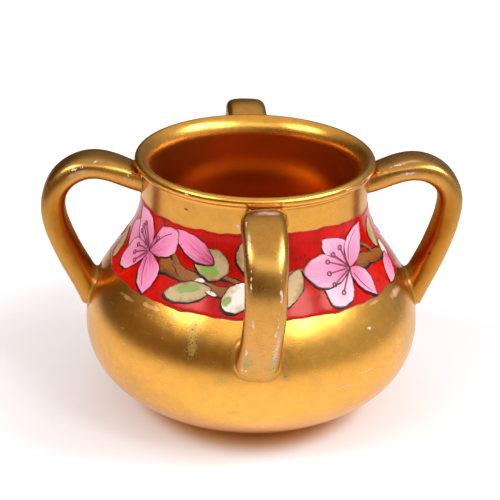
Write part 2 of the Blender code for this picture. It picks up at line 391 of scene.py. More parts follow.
class Wall:
    """The cup's outside: a line of radius and height, measured by its run down from under the lip.

    The neck is straight. A cubic swells from it over the shoulder to the belly, and another goes
    from the belly under to the foot.
    """

    neck_points = 30
    shoulder_points = 220
    underside_points = 160
    long_wave = 17 * MM
    short_wave = 9 * MM

    def __init__(self, cup):
        self.neck_top = cup.height - 2 * cup.lip_roll
        self.shoulder_top = self.neck_top - cup.neck_length
        self.floor = cup.foot_recess + cup.floor
        hold = cup.shoulder_fullness * (self.shoulder_top - cup.belly_height)
        drop = cup.underside_fullness * cup.belly_height
        slide = cup.underside_fullness * (cup.belly_radius - cup.foot_radius)
        neck_foot = (cup.neck_radius, self.shoulder_top)
        neck = np.linspace((cup.neck_radius, self.neck_top), neck_foot, self.neck_points)
        belly = (cup.belly_radius, cup.belly_height)
        shoulder = bezier(
            neck_foot,
            (cup.neck_radius, self.shoulder_top - hold),
            (cup.belly_radius, cup.belly_height + hold),
            belly,
            self.shoulder_points,
        )
        rise = cup.underside_rise
        underside = bezier(
            belly,
            (cup.belly_radius, cup.belly_height - drop),
            (cup.foot_radius + slide * math.cos(rise), slide * math.sin(rise)),
            (cup.foot_radius, 0.0),
            self.underside_points,
        )
        line = np.concatenate([neck[:-1], shoulder[:-1], underside])
        self.runs = travelled(line)
        self.radii, self.heights = line.T
        slopes = np.gradient(line, self.runs, axis=0)
        self.outward, self.upward = -slopes[:, 1], slopes[:, 0]
        self.sway = cup.sway

    def run_at(self, height):
        """Run of a height on the outside."""
        return np.interp(-height, -self.heights, self.runs)

    def radius_at(self, run):
        """Radius at a run."""
        return np.interp(run, self.runs, self.radii)

    def unevenness(self, azimuth, run):
        """Slow waves of the hand-finished wall: sines of two and three times the azimuth and of the run."""
        waves = np.sin(2 * azimuth + 0.7) * np.sin(run / self.long_wave)
        return self.sway * (0.6 * waves + 0.4 * np.sin(3 * azimuth - run / self.short_wave))

    def normal(self, azimuth, run):
        """Outward direction: the outline's normal turned to the azimuth."""
        outward = np.interp(run, self.runs, self.outward)
        upward = np.interp(run, self.runs, self.upward)
        return unit(about_axis(azimuth, outward, upward))

    def point(self, azimuth, run, lift):
        """Points on the outside, lifted along the outward direction."""
        azimuth, run, lift = np.broadcast_arrays(azimuth, run, lift)
        radius = self.radius_at(run)
        height = np.interp(run, self.runs, self.heights)
        base = about_axis(azimuth, radius, height)
        raised = lift + self.unevenness(azimuth, run)
        return base + raised[..., None] * self.normal(azimuth, run)

    def clearance(self, points):
        """Distance of points from the outside, positive off the wall and negative in it."""
        run = self.run_at(points[..., 2])
        gap = np.hypot(points[..., 0], points[..., 1]) - self.radius_at(run)
        return gap * np.interp(run, self.runs, self.outward) - self.unevenness(azimuths(points), run)


def settings():
    """The scene's property groups."""
    return bpy.context.scene.cup


# Materials

SMOOTH = {"interpolation_type": "SMOOTHSTEP"}
IN_COLOUR = {"data_type": "RGBA"}


def add(tree, kind, inputs=(), **values):
    """Adds a shader node, sets its values, and links or sets its inputs, by name or in order.

    A node given as an input stands for the first output that it shows.
    """
    node = tree.nodes.new("ShaderNode" + kind)
    for key, value in values.items():
        setattr(node, key, value)
    for key, value in inputs.items() if isinstance(inputs, dict) else enumerate(inputs):
        if isinstance(value, bpy.types.Node):
            value = next(output for output in value.outputs if output.enabled)
        if isinstance(value, bpy.types.NodeSocket):
            tree.links.new(value, node.inputs[key])
        else:
            node.inputs[key].default_value = value
    return node


def new_material(name):
    """A node material and its tree, with nothing in it."""
    material = bpy.data.materials.new(name)
    material.use_nodes = True
    material.node_tree.nodes.clear()
    return material, material.node_tree


def per_mm(size):
    """The noise scale that gives features of a size in millimetres on Object coordinates."""
    return 1.0 / (size * MM)


# What gold mirrors at a glancing angle where it is burnished and where it is dull
BRIGHT_EDGE = linear("#f9f6ee")
DULL_EDGE = linear("#bc9569")


def burnished_gold(name, gold_colour, base_roughness, film_weight, fleck_size):
    """Bright gold fired on glaze and burnished by hand.

    It mirrors softly with a fine grain and faint streaks round the cup, and clouds of greener gold
    drift over it. It is rubbed through to lilac porcelain on edges and paled in smears, and on the
    front strap's head a pale smear is a painted highlight. It carries grey-green speckled tarnish and
    dark specks where it has not been wiped, and the same dark colour lies as painted shade in the
    crease under the lip and along the slip beside the straps. Inside the cup a deeper red gold paints
    the shade of the hollow, on the floor it is a matt orange brown, and on the inner sides of the
    handles it is a brown gold, partly unburnished and partly painted shade.
    """
    colours = settings().colours
    material, tree = new_material(name)
    place = add(tree, "TexCoord").outputs["Object"]
    # The brown mark is partly unburnished gold and partly painted shade
    # The deep mark paints the shade of the hollow inside the cup
    # The haze-and-highlight mark is rubbed gold, and on the front strap's head a painted highlight
    # The soil-and-shade mark is dirt in spots and painted shade in creases
    worn, haze_and_highlight, tarnish, soil_and_shade, deep, matt, brown = (
        add(tree, "Attribute", attribute_name=mark).outputs["Fac"]
        for mark in ("worn", "haze_and_highlight", "tarnish", "soil_and_shade", "deep", "matt", "brown")
    )

    # Burnishing streaks about 0.6 mm apart that run round the cup, a fine grain, clouds and mottling
    stretched = add(tree, "Mapping", {"Vector": place, "Scale": [per_mm(size) for size in (9.0, 9.0, 0.6)]})
    streaks = add(tree, "TexNoise", {"Vector": stretched, "Scale": 1.0, "Detail": 3.0})
    grain, clouds, mottle = (
        add(tree, "TexNoise", {"Vector": place, "Scale": per_mm(size), "Detail": 4.0})
        for size in (0.5, 8.0, 2.2)
    )
    patchy = add(tree, "Math", [mottle, 0.9, 0.5], operation="MULTIPLY_ADD")
    matt = add(tree, "Math", [matt, patchy], operation="MULTIPLY")
    brown = add(tree, "Math", [brown, patchy], operation="MULTIPLY")
    dull = add(tree, "Math", [matt, brown], operation="MAXIMUM")

    # Rubbed flecks: where the wear and a noise together pass a level
    drawn = add(tree, "Mapping", {"Vector": place, "Scale": [per_mm(size) for size in fleck_size]})
    flecks = add(tree, "TexNoise", {"Vector": drawn, "Scale": 1.0, "Detail": 5.0})
    wear = add(tree, "Math", [worn, flecks], operation="ADD")
    rubbed = add(tree, "MapRange", [wear, 0.94, 1.06, 0.0, 0.85], **SMOOTH)
    on_wear = add(tree, "MapRange", [worn, 0.04, 0.2], **SMOOTH)
    rubbed = add(tree, "Math", [rubbed, on_wear], operation="MULTIPLY")

    # Haze in lines along the streaks, which on the front strap's head is a painted highlight, and a film of
    # tarnish in the grain
    lines = add(tree, "Math", [mottle, 0.9, 0.35], operation="MULTIPLY_ADD")
    lines = add(tree, "Math", [streaks, 0.6, lines], operation="MULTIPLY_ADD")
    lines = add(tree, "Math", [haze_and_highlight, lines], operation="MULTIPLY")
    smear = add(tree, "MapRange", [lines, 0.45, 0.95], **SMOOTH)
    film = add(tree, "Math", [tarnish, grain], operation="ADD")
    film = add(tree, "MapRange", [film, 0.8, 1.4], **SMOOTH)

    # Dark patches: round dirt specks that grow with the tarnish, and ragged patches on the soil-and-shade
    # mark, dirt in spots and painted shade in creases
    specks = add(tree, "TexVoronoi", {"Vector": place, "Scale": per_mm(0.9), "Randomness": 1.0})
    speck_size = add(tree, "Math", [tarnish, 0.27], operation="MULTIPLY")
    spots = add(tree, "Math", [specks, speck_size], operation="LESS_THAN")
    ragged = add(tree, "Math", [soil_and_shade, 0.66], operation="SUBTRACT")
    ragged = add(tree, "Math", [flecks, 1.2, ragged], operation="MULTIPLY_ADD")
    patches = add(tree, "MapRange", [ragged, 0.45, 0.65, 0.0, 0.9], **SMOOTH)
    on_soil_and_shade = add(tree, "MapRange", [soil_and_shade, 0.04, 0.2], **SMOOTH)
    patches = add(tree, "Math", [patches, on_soil_and_shade], operation="MULTIPLY")
    dirt_and_shade = add(tree, "Math", [spots, patches], operation="MAXIMUM")

    # Colour: gold that shifts in value and hue, then olive, painted shade inside, matt gold, partly painted
    # brown, film, porcelain, and dirt with painted shade over it
    shift = add(tree, "Math", [grain, 0.6, mottle], operation="MULTIPLY_ADD")
    shift = add(tree, "MapRange", [shift, 0.55, 1.05, 0.88, 1.08])
    colour = add(tree, "HueSaturation", {"Color": gold_colour, "Value": shift})
    drift = add(tree, "Math", [mottle, 0.4, clouds], operation="MULTIPLY_ADD")
    drift = add(tree, "Math", [tarnish, 0.6, drift], operation="MULTIPLY_ADD")
    olive = add(tree, "MapRange", [drift, 0.66, 0.95, 0.0, 0.32], **SMOOTH)
    veil = add(tree, "Math", [smear, 0.5], operation="MULTIPLY")
    layers = (
        (olive, colours.olive),
        (deep, colours.hollow_shade_gold),
        (matt, colours.matt_gold),
        (brown, colours.brown_gold_and_shade),
        (film, colours.tarnish),
        (veil, colours.porcelain),
        (rubbed, colours.porcelain),
        (dirt_and_shade, colours.grime_and_shade),
    )
    for cover, layer in layers:
        colour = add(tree, "Mix", {0: cover, 6: colour, 7: layer}, **IN_COLOUR)

    # Metal everywhere but on porcelain, dirt and painted shade, half of the films and half of the matt gold
    thin = add(tree, "Math", [film, smear], operation="MAXIMUM")
    thin = add(tree, "Math", [matt, thin], operation="MAXIMUM")
    thin = add(tree, "Math", [thin, 0.5], operation="MULTIPLY")
    loss = add(tree, "Math", [rubbed, dirt_and_shade], operation="MAXIMUM")
    loss = add(tree, "Math", [loss, thin], operation="MAXIMUM")
    metal = add(tree, "Math", [1.0, loss], operation="SUBTRACT")

    # Roughness from the streaks and the mottling, higher off the metal, on dull gold and inside
    texture = add(tree, "Math", [streaks, mottle], operation="ADD")
    texture = add(tree, "Math", [texture, 1.0], operation="SUBTRACT")
    roughness = add(tree, "Math", [texture, 0.05, base_roughness], operation="MULTIPLY_ADD")
    roughness = add(tree, "Math", [loss, 0.25, roughness], operation="MULTIPLY_ADD")
    unburnished = add(tree, "Math", [dull, deep], operation="MAXIMUM")
    roughness = add(tree, "Math", [unburnished, 0.08, roughness], operation="MULTIPLY_ADD")

    # A thin clear film pales the gold but where it is dull
    film_cover = add(tree, "Math", [1.0, dull], operation="SUBTRACT")
    height = add(tree, "Math", [streaks, 0.4, grain], operation="MULTIPLY_ADD")
    surface = {
        "Base Color": colour,
        "Metallic": metal,
        "Roughness": roughness,
        "Specular Tint": add(tree, "Mix", {0: dull, 6: BRIGHT_EDGE, 7: DULL_EDGE}, **IN_COLOUR),
        "Coat Weight": add(tree, "Math", [film_cover, film_weight], operation="MULTIPLY"),
        "Coat Roughness": 0.3,
        "Normal": add(tree, "Bump", {"Strength": 0.2, "Distance": 0.012 * MM, "Height": height}),
    }
    add(tree, "OutputMaterial", {"Surface": add(tree, "BsdfPrincipled", surface)})
    return material


# What red enamel mirrors, tinged by its own colour
ENAMEL_SHEEN = linear("#ffcec5")


def red_enamel():
    """Iron-red enamel fired to a gloss: brush-laid, so it is darker where it lies thick.

    Hatched smudges of a darker red show where the brush went twice. The thin mark paints light and
    shade: it brightens the red where the lamps fall near the band's lower edge and darkens it at the
    top front.
    """
    colours = settings().colours
    material, tree = new_material("fired_red_enamel")
    place = add(tree, "TexCoord").outputs["Object"]
    thin = add(tree, "Attribute", attribute_name="thin").outputs["Fac"]
    clouds = add(tree, "TexNoise", {"Vector": place, "Scale": per_mm(7.0), "Detail": 4.0})
    brushed = add(tree, "Mapping", {"Vector": place, "Scale": [per_mm(size) for size in (0.9, 0.9, 5.0)]})
    strokes = add(tree, "TexNoise", {"Vector": brushed, "Scale": 1.0, "Detail": 4.0})
    thick = add(tree, "Math", [strokes, 0.5, clouds], operation="MULTIPLY_ADD")
    bright = add(tree, "MapRange", [thick, 0.5, 1.0, 0.7, 1.3])
    # Painted light and shade: the thin mark brightens the red, and darkens it where it is below zero
    bright = add(tree, "Math", [thin, 0.3, bright], operation="MULTIPLY_ADD")
    colour = add(tree, "HueSaturation", {"Color": colours.red, "Value": bright})
    patches = add(tree, "TexNoise", {"Vector": place, "Scale": per_mm(4.0), "Detail": 2.0})
    twice = add(tree, "Math", [strokes, 0.6, patches], operation="MULTIPLY_ADD")
    twice = add(tree, "MapRange", [twice, 0.92, 1.02, 0.0, 0.55], **SMOOTH)
    peel = add(tree, "TexNoise", {"Vector": place, "Scale": per_mm(0.7), "Detail": 3.0})
    surface = {
        "Base Color": add(tree, "Mix", {0: twice, 6: colour, 7: colours.line}, **IN_COLOUR),
        "Roughness": 0.17,
        "IOR": 1.52,
        "Specular IOR Level": 0.36,
        "Specular Tint": ENAMEL_SHEEN,
        "Normal": add(tree, "Bump", {"Strength": 0.2, "Distance": 0.02 * MM, "Height": peel}),
    }
    add(tree, "OutputMaterial", {"Surface": add(tree, "BsdfPrincipled", surface)})
    return material


def finish_enamel(tree, colour, height, roughness):
    """Gives a painted enamel its colour, its satin gloss and the low relief of brushed paint."""
    surface = {
        "Base Color": colour,
        "Roughness": roughness,
        "IOR": 1.5,
        "Specular IOR Level": 0.35,
        "Normal": add(tree, "Bump", {"Strength": 0.25, "Distance": 0.04 * MM, "Height": height}),
    }
    add(tree, "OutputMaterial", {"Surface": add(tree, "BsdfPrincipled", surface)})


def petal_enamel(name):
    """Pink enamel brushed out from the heart of a flower.

    It is streaked along the petal, deep rose by the heart and paler to the tip and the edges, and
    the tone mark makes one petal whiter than the next.
    """
    colours = settings().colours
    material, tree = new_material(name)
    along, across, tone = (
        add(tree, "Attribute", attribute_name=mark).outputs["Fac"] for mark in ("along", "across", "tone")
    )

    # Brush streaks fan out from the base: noise over across / (along + 0.3), which puts them about
    # 0.45 mm apart half way along a petal
    fan = add(tree, "Math", [along, 0.3], operation="ADD")
    fan = add(tree, "Math", [across, fan], operation="DIVIDE")
    fan = add(tree, "Math", [fan, 3.0], operation="MULTIPLY")
    spread = add(tree, "CombineXYZ", [fan, along, tone])
    streaks = add(tree, "TexNoise", {"Vector": spread, "Scale": 2.4, "Detail": 4.0})
    ragged = add(tree, "Math", [streaks, 0.5], operation="SUBTRACT")

    # Paler by its tone, to the tip and to the edges
    edge = add(tree, "Math", [across], operation="ABSOLUTE")
    edge = add(tree, "Math", [edge, 2.0], operation="POWER")
    pale = add(tree, "Math", [ragged, 0.6, tone], operation="MULTIPLY_ADD")
    pale = add(tree, "Math", [along, 0.2, pale], operation="MULTIPLY_ADD")
    pale = add(tree, "Math", [edge, 0.2, pale], operation="MULTIPLY_ADD")
    pale = add(tree, "MapRange", [pale, 0.4, 1.2], **SMOOTH)
    petal = add(tree, "Mix", {0: pale, 6: colours.pink, 7: colours.white}, **IN_COLOUR)

    # Rosy by the heart, more so on a petal of deep tone
    heart = add(tree, "Math", [ragged, 1.6], operation="MULTIPLY")
    heart = add(tree, "Math", [heart, along], operation="SUBTRACT")
    heart = add(tree, "MapRange", [heart, -0.65, 0.1], **SMOOTH)
    rosy = add(tree, "Math", [tone, -3.0, 1.9], operation="MULTIPLY_ADD")
    rosy = add(tree, "Math", [heart, rosy], operation="MULTIPLY")
    colour = add(tree, "Mix", {0: rosy, 6: petal, 7: colours.rose}, **IN_COLOUR)
    finish_enamel(tree, colour, streaks, roughness=0.32)
    return material


Oval = namedtuple("Oval", "along across long wide")


def leaf_enamel(name, ground, edge, oval, base_shade):
    """Enamel of leaves, sepals and white buds: a pale ground, browner at the edges and the base.

    A speckled green patch fills an oval, as strongly as the tone mark says.
    """
    material, tree = new_material(name)
    place = add(tree, "TexCoord").outputs["Object"]
    along, across, tone = (
        add(tree, "Attribute", attribute_name=mark).outputs["Fac"] for mark in ("along", "across", "tone")
    )
    mottle = add(tree, "TexNoise", {"Vector": place, "Scale": per_mm(1.3), "Detail": 5.0})
    ragged = add(tree, "Math", [mottle, 0.5], operation="SUBTRACT")

    # Green where (along / long)^2 + (across / wide)^2, measured from the oval's middle, is below 1
    squares = []
    for value, middle, half in ((along, oval.along, oval.long), (across, oval.across, oval.wide)):
        square = add(tree, "Math", [value, middle], operation="SUBTRACT")
        square = add(tree, "Math", [square, half], operation="DIVIDE")
        squares.append(add(tree, "Math", [square, 2.0], operation="POWER"))
    patch = add(tree, "Math", squares, operation="ADD")
    patch = add(tree, "Math", [ragged, 1.8, patch], operation="MULTIPLY_ADD")
    patch = add(tree, "MapRange", [patch, 1.1, 0.5], **SMOOTH)
    patch = add(tree, "Math", [patch, tone], operation="MULTIPLY")

    # Browner at the edges, and at the base by its shade
    base = add(tree, "Math", [0.5, along], operation="SUBTRACT")
    base = add(tree, "Math", [base, base_shade], operation="MULTIPLY")
    rim = add(tree, "Math", [ragged, 1.6, base], operation="MULTIPLY_ADD")
    aside = add(tree, "Math", [across], operation="ABSOLUTE")
    rim = add(tree, "Math", [aside, rim], operation="ADD")
    rim = add(tree, "MapRange", [rim, 0.3, 1.1, 0.0, 0.75], **SMOOTH)
    colour = add(tree, "Mix", {0: rim, 6: ground, 7: edge}, **IN_COLOUR)
    colour = add(tree, "Mix", {0: patch, 6: colour, 7: settings().colours.green}, **IN_COLOUR)
    finish_enamel(tree, colour, mottle, roughness=0.38)
    return material


def twig_enamel(name):
    """Brown enamel of twigs: streaked along the bark and darker on the underside."""
    colours = settings().colours
    material, tree = new_material(name)
    along, across = (
        add(tree, "Attribute", attribute_name=mark).outputs["Fac"] for mark in ("along", "across")
    )

    # Bark about 0.4 mm wide and 2 mm long on a twig 4 mm thick
    bark = add(tree, "Math", [across, 1.6], operation="MULTIPLY")
    bark = add(tree, "CombineXYZ", [bark, along])
    streaks = add(tree, "TexNoise", {"Vector": bark, "Scale": 3.0, "Detail": 4.0})
    under = add(tree, "Math", [across, -0.35, streaks], operation="MULTIPLY_ADD")
    under = add(tree, "MapRange", [under, 0.45, 1.0, 0.0, 0.8], **SMOOTH)
    colour = add(tree, "Mix", {0: under, 6: colours.brown, 7: colours.line}, **IN_COLOUR)
    finish_enamel(tree, colour, streaks, roughness=0.36)
    return material


def line_enamel(name, colour):
    """Dark enamel drawn thinly with a fine brush, browner where the line is thin."""
    material, tree = new_material(name)
    place = add(tree, "TexCoord").outputs["Object"]
    uneven = add(tree, "TexNoise", {"Vector": place, "Scale": per_mm(1.8), "Detail": 2.0})
    thin = add(tree, "MapRange", [uneven, 0.5, 0.8, 0.0, 0.2], **SMOOTH)
    ink = add(tree, "Mix", {0: thin, 6: colour, 7: settings().colours.brown}, **IN_COLOUR)
    finish_enamel(tree, ink, uneven, roughness=0.4)
    return material


def pale_floor(name, far_colour):
    """Matt white board: almost even, with faint warm clouding, and another colour far from the cup.

    By the foot it takes the warm colour of the light that the gilding throws on it.
    """
    stage = settings().stage
    material, tree = new_material(name)
    place = add(tree, "TexCoord").outputs["Object"]
    clouds = add(tree, "TexNoise", {"Vector": place, "Scale": per_mm(45.0), "Detail": 4.0})
    clouds = add(tree, "MapRange", [clouds, 0.3, 0.7, 0.98, 1.01])
    colour = add(tree, "HueSaturation", {"Color": stage.floor_colour, "Value": clouds})
    away = add(tree, "VectorMath", [place], operation="LENGTH")
    near = add(tree, "MapRange", [away, GLOW_FADED, GLOW_FULL], **SMOOTH)
    far = add(tree, "MapRange", [away, MIRRORED_WHITE, MIRRORED_DARK])
    for cover, layer in ((near, stage.glow_colour), (far, far_colour)):
        colour = add(tree, "Mix", {0: cover, 6: colour, 7: layer}, **IN_COLOUR)
    surface = {"Base Color": colour, "Roughness": 0.9, "Specular IOR Level": 0.1}
    add(tree, "OutputMaterial", {"Surface": add(tree, "BsdfPrincipled", surface)})
    return material


# Body

Spot = namedtuple("Spot", "azimuth height wide tall strength")

# Places on the body, in degrees and millimetres: rubbed through, hazed, tarnished and soiled
BODY_WEAR = (
    Spot(66.0, 40.4, 3.0, 0.9, 0.48),
    Spot(42.3, 37.1, 0.6, 0.6, 0.9),
    Spot(37.0, 26.4, 4.5, 0.5, 0.58),
    Spot(30.0, 24.0, 3.5, 0.5, 0.56),
    Spot(21.0, 21.5, 3.5, 0.5, 0.56),
    Spot(-38.0, 24.5, 0.7, 0.5, 0.7),
    Spot(-50.0, 31.0, 1.6, 0.5, 0.56),
    Spot(-10.5, 65.6, 0.9, 0.9, 0.95),
)
BODY_HAZE = (
    Spot(-57.0, 41.4, 7.0, 1.1, 0.68),
    Spot(-43.0, 42.0, 8.0, 1.0, 0.68),
    Spot(-33.0, 41.8, 5.0, 0.9, 0.66),
    Spot(50.0, 41.8, 7.0, 0.9, 0.62),
    Spot(66.0, 40.4, 6.5, 1.4, 0.78),
)
BODY_TARNISH = (
    Spot(-23.6, 39.8, 2.0, 3.0, 0.8),
    Spot(-23.0, 35.6, 2.2, 3.4, 0.62),
    Spot(-12.0, 28.7, 1.8, 1.2, 0.6),
    Spot(-8.0, 18.6, 2.6, 1.4, 0.6),
    Spot(8.6, 29.6, 1.0, 0.8, 1.0),
    Spot(8.2, 33.0, 0.8, 1.6, 0.6),
)
BODY_SOIL = (
    Spot(-37.6, 67.8, 2.0, 0.9, 0.8),
    Spot(-33.5, 68.6, 1.0, 0.5, 0.8),
    Spot(8.7, 30.2, 1.1, 1.1, 0.8),
    Spot(-52.0, 34.5, 1.2, 0.4, 0.46),
)

# Depth below the lip's top at which the inside of the neck starts to flare
FLARE_DEPTH = 5.2 * MM

# Height in which the inside wall turns into the floor, and the share of its radius that stays flat
FLOOR_CURVE = 4 * MM
FLAT_FLOOR = 0.62

# Points of the body round the cup and down its outside
BODY_COLUMNS = 272
OUTSIDE_ROWS = 170

# Depth of the soft crease under the lip
CREASE = 0.7 * MM

# Azimuth at which the lip is rubbed most
LIP_RUB = math.radians(66)


def spotted(azimuth, height, radius, spots):
    """The strongest of several soft round spots: strength times exp(-(x/wide)^2 - (y/tall)^2)."""
    total = np.zeros(np.broadcast_shapes(azimuth.shape, height.shape))
    for spot in spots:
        turn = short_way(azimuth - math.radians(spot.azimuth))
        across = turn * radius / (spot.wide * MM)
        along = (height / MM - spot.height) / spot.tall
        total = np.maximum(total, spot.strength * bell(across) * bell(along))
    return total


def body_outline(cup, wall):
    """The closed outline from the inside floor over the lip and down the outside to under the foot.

    The inside is the outside's line moved in by the wall, and a rolled lip that flares inside joins
    the two. With it come the number of its rows inside, the runs of the outside and its first row.
    """
    floor = wall.floor
    inner = np.stack(
        [wall.radii - cup.wall * wall.outward, wall.heights - cup.wall * wall.upward], axis=-1
    )
    inner = inner[(wall.heights < wall.shoulder_top) & (inner[:, 1] > floor + FLOOR_CURVE)][::-5]
    foot_of_wall = inner[0]
    lead = unit(inner[0] - inner[1])
    turn_in = FLAT_FLOOR * foot_of_wall[0]
    corner = bezier(
        (turn_in, floor),
        (turn_in + 5 * MM, floor),
        tuple(foot_of_wall + FLOOR_CURVE * lead),
        tuple(foot_of_wall),
        14,
    )
    inside_floor = np.linspace((0.0, floor), (turn_in, floor), 10)
    lip_middle = np.array([cup.neck_radius + cup.lip_overhang - cup.lip_roll, cup.height - cup.lip_roll])
    flare_low = cup.height - FLARE_DEPTH
    inside_neck = np.linspace(tuple(inner[-1]), (inner[-1, 0], flare_low), 8)
    flare = bezier(
        (inner[-1, 0], flare_low),
        (inner[-1, 0], flare_low + 0.62 * FLARE_DEPTH),
        (lip_middle[0] - 1.0 * MM, cup.height),
        (lip_middle[0], cup.height),
        16,
    )
    angles = np.linspace(math.pi / 2, math.radians(-75), 18)
    lip = lip_middle + cup.lip_roll * circle(angles)
    crease = bezier(
        tuple(lip[-1]),
        (lip[-1, 0] - 0.38 * MM, lip[-1, 1] - 0.1 * MM),
        (cup.neck_radius, wall.neck_top - 0.2 * MM),
        (cup.neck_radius, wall.neck_top - CREASE),
        7,
    )
    below_crease = wall.run_at(wall.neck_top - CREASE - 0.1 * MM)
    runs = np.linspace(below_crease, wall.runs[-1], OUTSIDE_ROWS)
    outside = np.stack([wall.radius_at(runs), np.interp(runs, wall.runs, wall.heights)], axis=-1)
    ring = cup.foot_radius - cup.foot_ring
    under = np.array(
        [
            (ring + 0.3 * MM, 0.0),
            (ring - 0.2 * MM, 0.25 * MM),
            (ring - 0.7 * MM, cup.foot_recess - 0.2 * MM),
            (ring - 1.2 * MM, cup.foot_recess),
            (ring / 2, cup.foot_recess),
            (0.0, cup.foot_recess),
        ]
    )
    inside = [inside_floor[:-1], corner[:-1], inner[:-1], inside_neck[:-1], flare[:-1]]
    top = [lip[:-1], crease]
    inside_rows = sum(len(part) for part in inside)
    first = inside_rows + sum(len(part) for part in top)
    return np.concatenate([*inside, *top, outside, under]), inside_rows, runs, first


class CUP_OT_body(bpy.types.Operator):
    """Turns the gilt porcelain body"""

    bl_idname = "cup.body"
    bl_label = "Cup Body"

    def execute(self, context):
        cup = settings().cup
        wall = Wall(cup)
        outline, inside_rows, runs, first = body_outline(cup, wall)
        azimuth = around(BODY_COLUMNS)
        radius = outline[:, 0, None]
        height = np.broadcast_to(outline[:, 1, None], (len(outline), BODY_COLUMNS))
        points = about_axis(azimuth, radius, height)
        outside = slice(first, first + len(runs))
        points[outside] = wall.point(azimuth[None, :], runs[:, None], 0.0)
        on_outside = np.zeros((len(outline), 1))
        on_outside[outside] = 1.0
        inside = np.zeros((len(outline), 1))
        inside[:inside_rows] = 1.0

        # The rolled lip is rubbed in patches, and painted shade lies in patches in the crease under it
        on_lip = radius > cup.neck_radius
        lip_edge = bell((height - cup.height + 1.0 * MM) / (0.55 * MM)) * on_lip
        lip_patches = 0.5 + 0.5 * np.sin(5 * azimuth + 1.0) * np.sin(13 * azimuth)
        lip_patches += 0.6 * bell((azimuth - LIP_RUB) / math.radians(12))
        crease = bell((height - wall.neck_top) / (0.22 * MM)) * on_lip
        crease_patches = smooth_step(-0.2, 0.5, np.sin(7 * azimuth + 0.5) + 0.6 * np.sin(17 * azimuth))
        wear, haze_and_highlight, tarnish, soil_and_shade = (
            on_outside * spotted(azimuth[None, :], height, cup.belly_radius, spots)
            for spots in (BODY_WEAR, BODY_HAZE, BODY_TARNISH, BODY_SOIL)
        )

        # Inside, a deeper red gold paints the shade of the hollow between the lip and the floor, and the
        # floor is matt
        below_lip = smooth_step(cup.height - 1.2 * MM, cup.height - 8 * MM, height)
        marks = {
            "worn": np.maximum(wear, 0.45 * lip_edge * lip_patches),
            "haze_and_highlight": haze_and_highlight,
            "tarnish": tarnish,
            # Dirt spots from the table, and painted shade in the crease under the lip
            "soil_and_shade": np.maximum(soil_and_shade, 0.36 * crease * crease_patches),
            # Painted shade: the inside darkens to a deeper red gold below the lip
            "deep": inside * below_lip * smooth_step(16 * MM, 34 * MM, height),
            "matt": inside * smooth_step(wall.floor + 1.6 * MM, wall.floor + 0.4 * MM, height),
        }
        material = burnished_gold(
            "burnished_gold_on_porcelain",
            settings().colours.gold,
            base_roughness=0.26,
            film_weight=0.36,
            fleck_size=(2.2, 2.2, 0.4),
        )
        body = make_piece("gilt_body", [Skin(points, False, True, marks)], material)
        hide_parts("cup_body")
        return {"FINISHED"}


# Handles

Habit = namedtuple("Habit", "bow head foot crest pull drop twist")

# How each hand-made strap strays from the common shape, in millimetres: a bow to its +90 degree side,
# shifts of its head and its foot to the other side, its crest moved in, a pull in at its reach and a
# drop of its bend, and in degrees a twist of its outer face to the other side
STRAP_HABITS = {
    "front": Habit(0.6, -1.4, 1.0, 3.6, 0.3, 3.2, 6.0),
    "right": Habit(0.0, 0.0, 0.0, 0.0, 0.8, -1.4, 0.0),
    "back": Habit(1.2, 0.0, 0.0, 0.0, 0.3, 0.0, 0.0),
    "left": Habit(0.0, 0.0, 0.0, 0.0, -0.2, 0.8, 0.0),
}

# How far a cubic's pulls go along its tangents for a quarter of a circle
QUARTER_ARC = 0.5523

# Lengths of the straight ends that run into the neck and the belly
INTO_NECK = 4 * MM
INTO_BELLY = 12 * MM

# Where along the middle line the strap flares at its joints, and over what half length
END_FLARES = ((0.22, 0.14), (0.87, 0.12))

# How square the strap's section is
SQUARENESS = 2.5


def strap_line(cup, handle, wall, habit):
    """The strap's middle line as radius and height: out from the neck, over the crest and down.

    A cubic rises to the crest, a quarter arc turns down to the furthest reach, and a long cubic
    leans in to the belly. Both ends run on straight into the wall.
    """
    neck = (cup.neck_radius, wall.neck_top - handle.below_lip - handle.neck_thickness / 2)
    middle_thickness = (handle.neck_thickness + handle.belly_thickness) / 2
    reach_out = handle.reach - middle_thickness / 2
    crest = (reach_out - handle.bend_width - habit.crest * MM, neck[1] + handle.crest_rise)
    reach = (reach_out - habit.pull * MM, crest[1] - handle.bend_depth - habit.drop * MM)
    low = cup.belly_height + handle.above_belly
    belly = (wall.radius_at(wall.run_at(low)), low)
    rise = np.array([math.cos(handle.neck_rise), math.sin(handle.neck_rise)])
    lean = np.array([math.sin(handle.belly_lean), math.cos(handle.belly_lean)])
    pull = (crest[0] - neck[0]) / 3
    drop = (reach[1] - belly[1]) / 3
    to_crest = bezier(neck, tuple(neck + pull * rise), (crest[0] - pull, crest[1]), crest, 60)
    to_reach = bezier(
        crest,
        (crest[0] + QUARTER_ARC * (reach[0] - crest[0]), crest[1]),
        (reach[0], reach[1] + QUARTER_ARC * (crest[1] - reach[1])),
        reach,
        80,
    )
    to_belly = bezier(reach, (reach[0], reach[1] - drop), tuple(belly + drop * lean), belly, 80)
    into_neck = np.linspace(neck - INTO_NECK * rise, neck, 12)
    into_belly = np.linspace(belly, belly - INTO_BELLY * lean, 30)
    return np.concatenate([into_neck[:-1], to_crest[:-1], to_reach[:-1], to_belly[:-1], into_belly])


def crossing(values, level, last):
    """Fractional column where each row of values crosses its level, first from below or last from above."""
    above = values > level[:, None]
    count = values.shape[1]
    if last:
        left = count - 1 - np.argmax(above[:, ::-1], axis=1)
    else:
        left = np.argmax(above, axis=1) - 1
    left = np.clip(left, 0, count - 2)[:, None]
    low = np.take_along_axis(values, left, axis=1)[:, 0]
    high = np.take_along_axis(values, left + 1, axis=1)[:, 0]
    return left[:, 0] + np.clip((level - low) / (high - low), 0.0, 1.0)


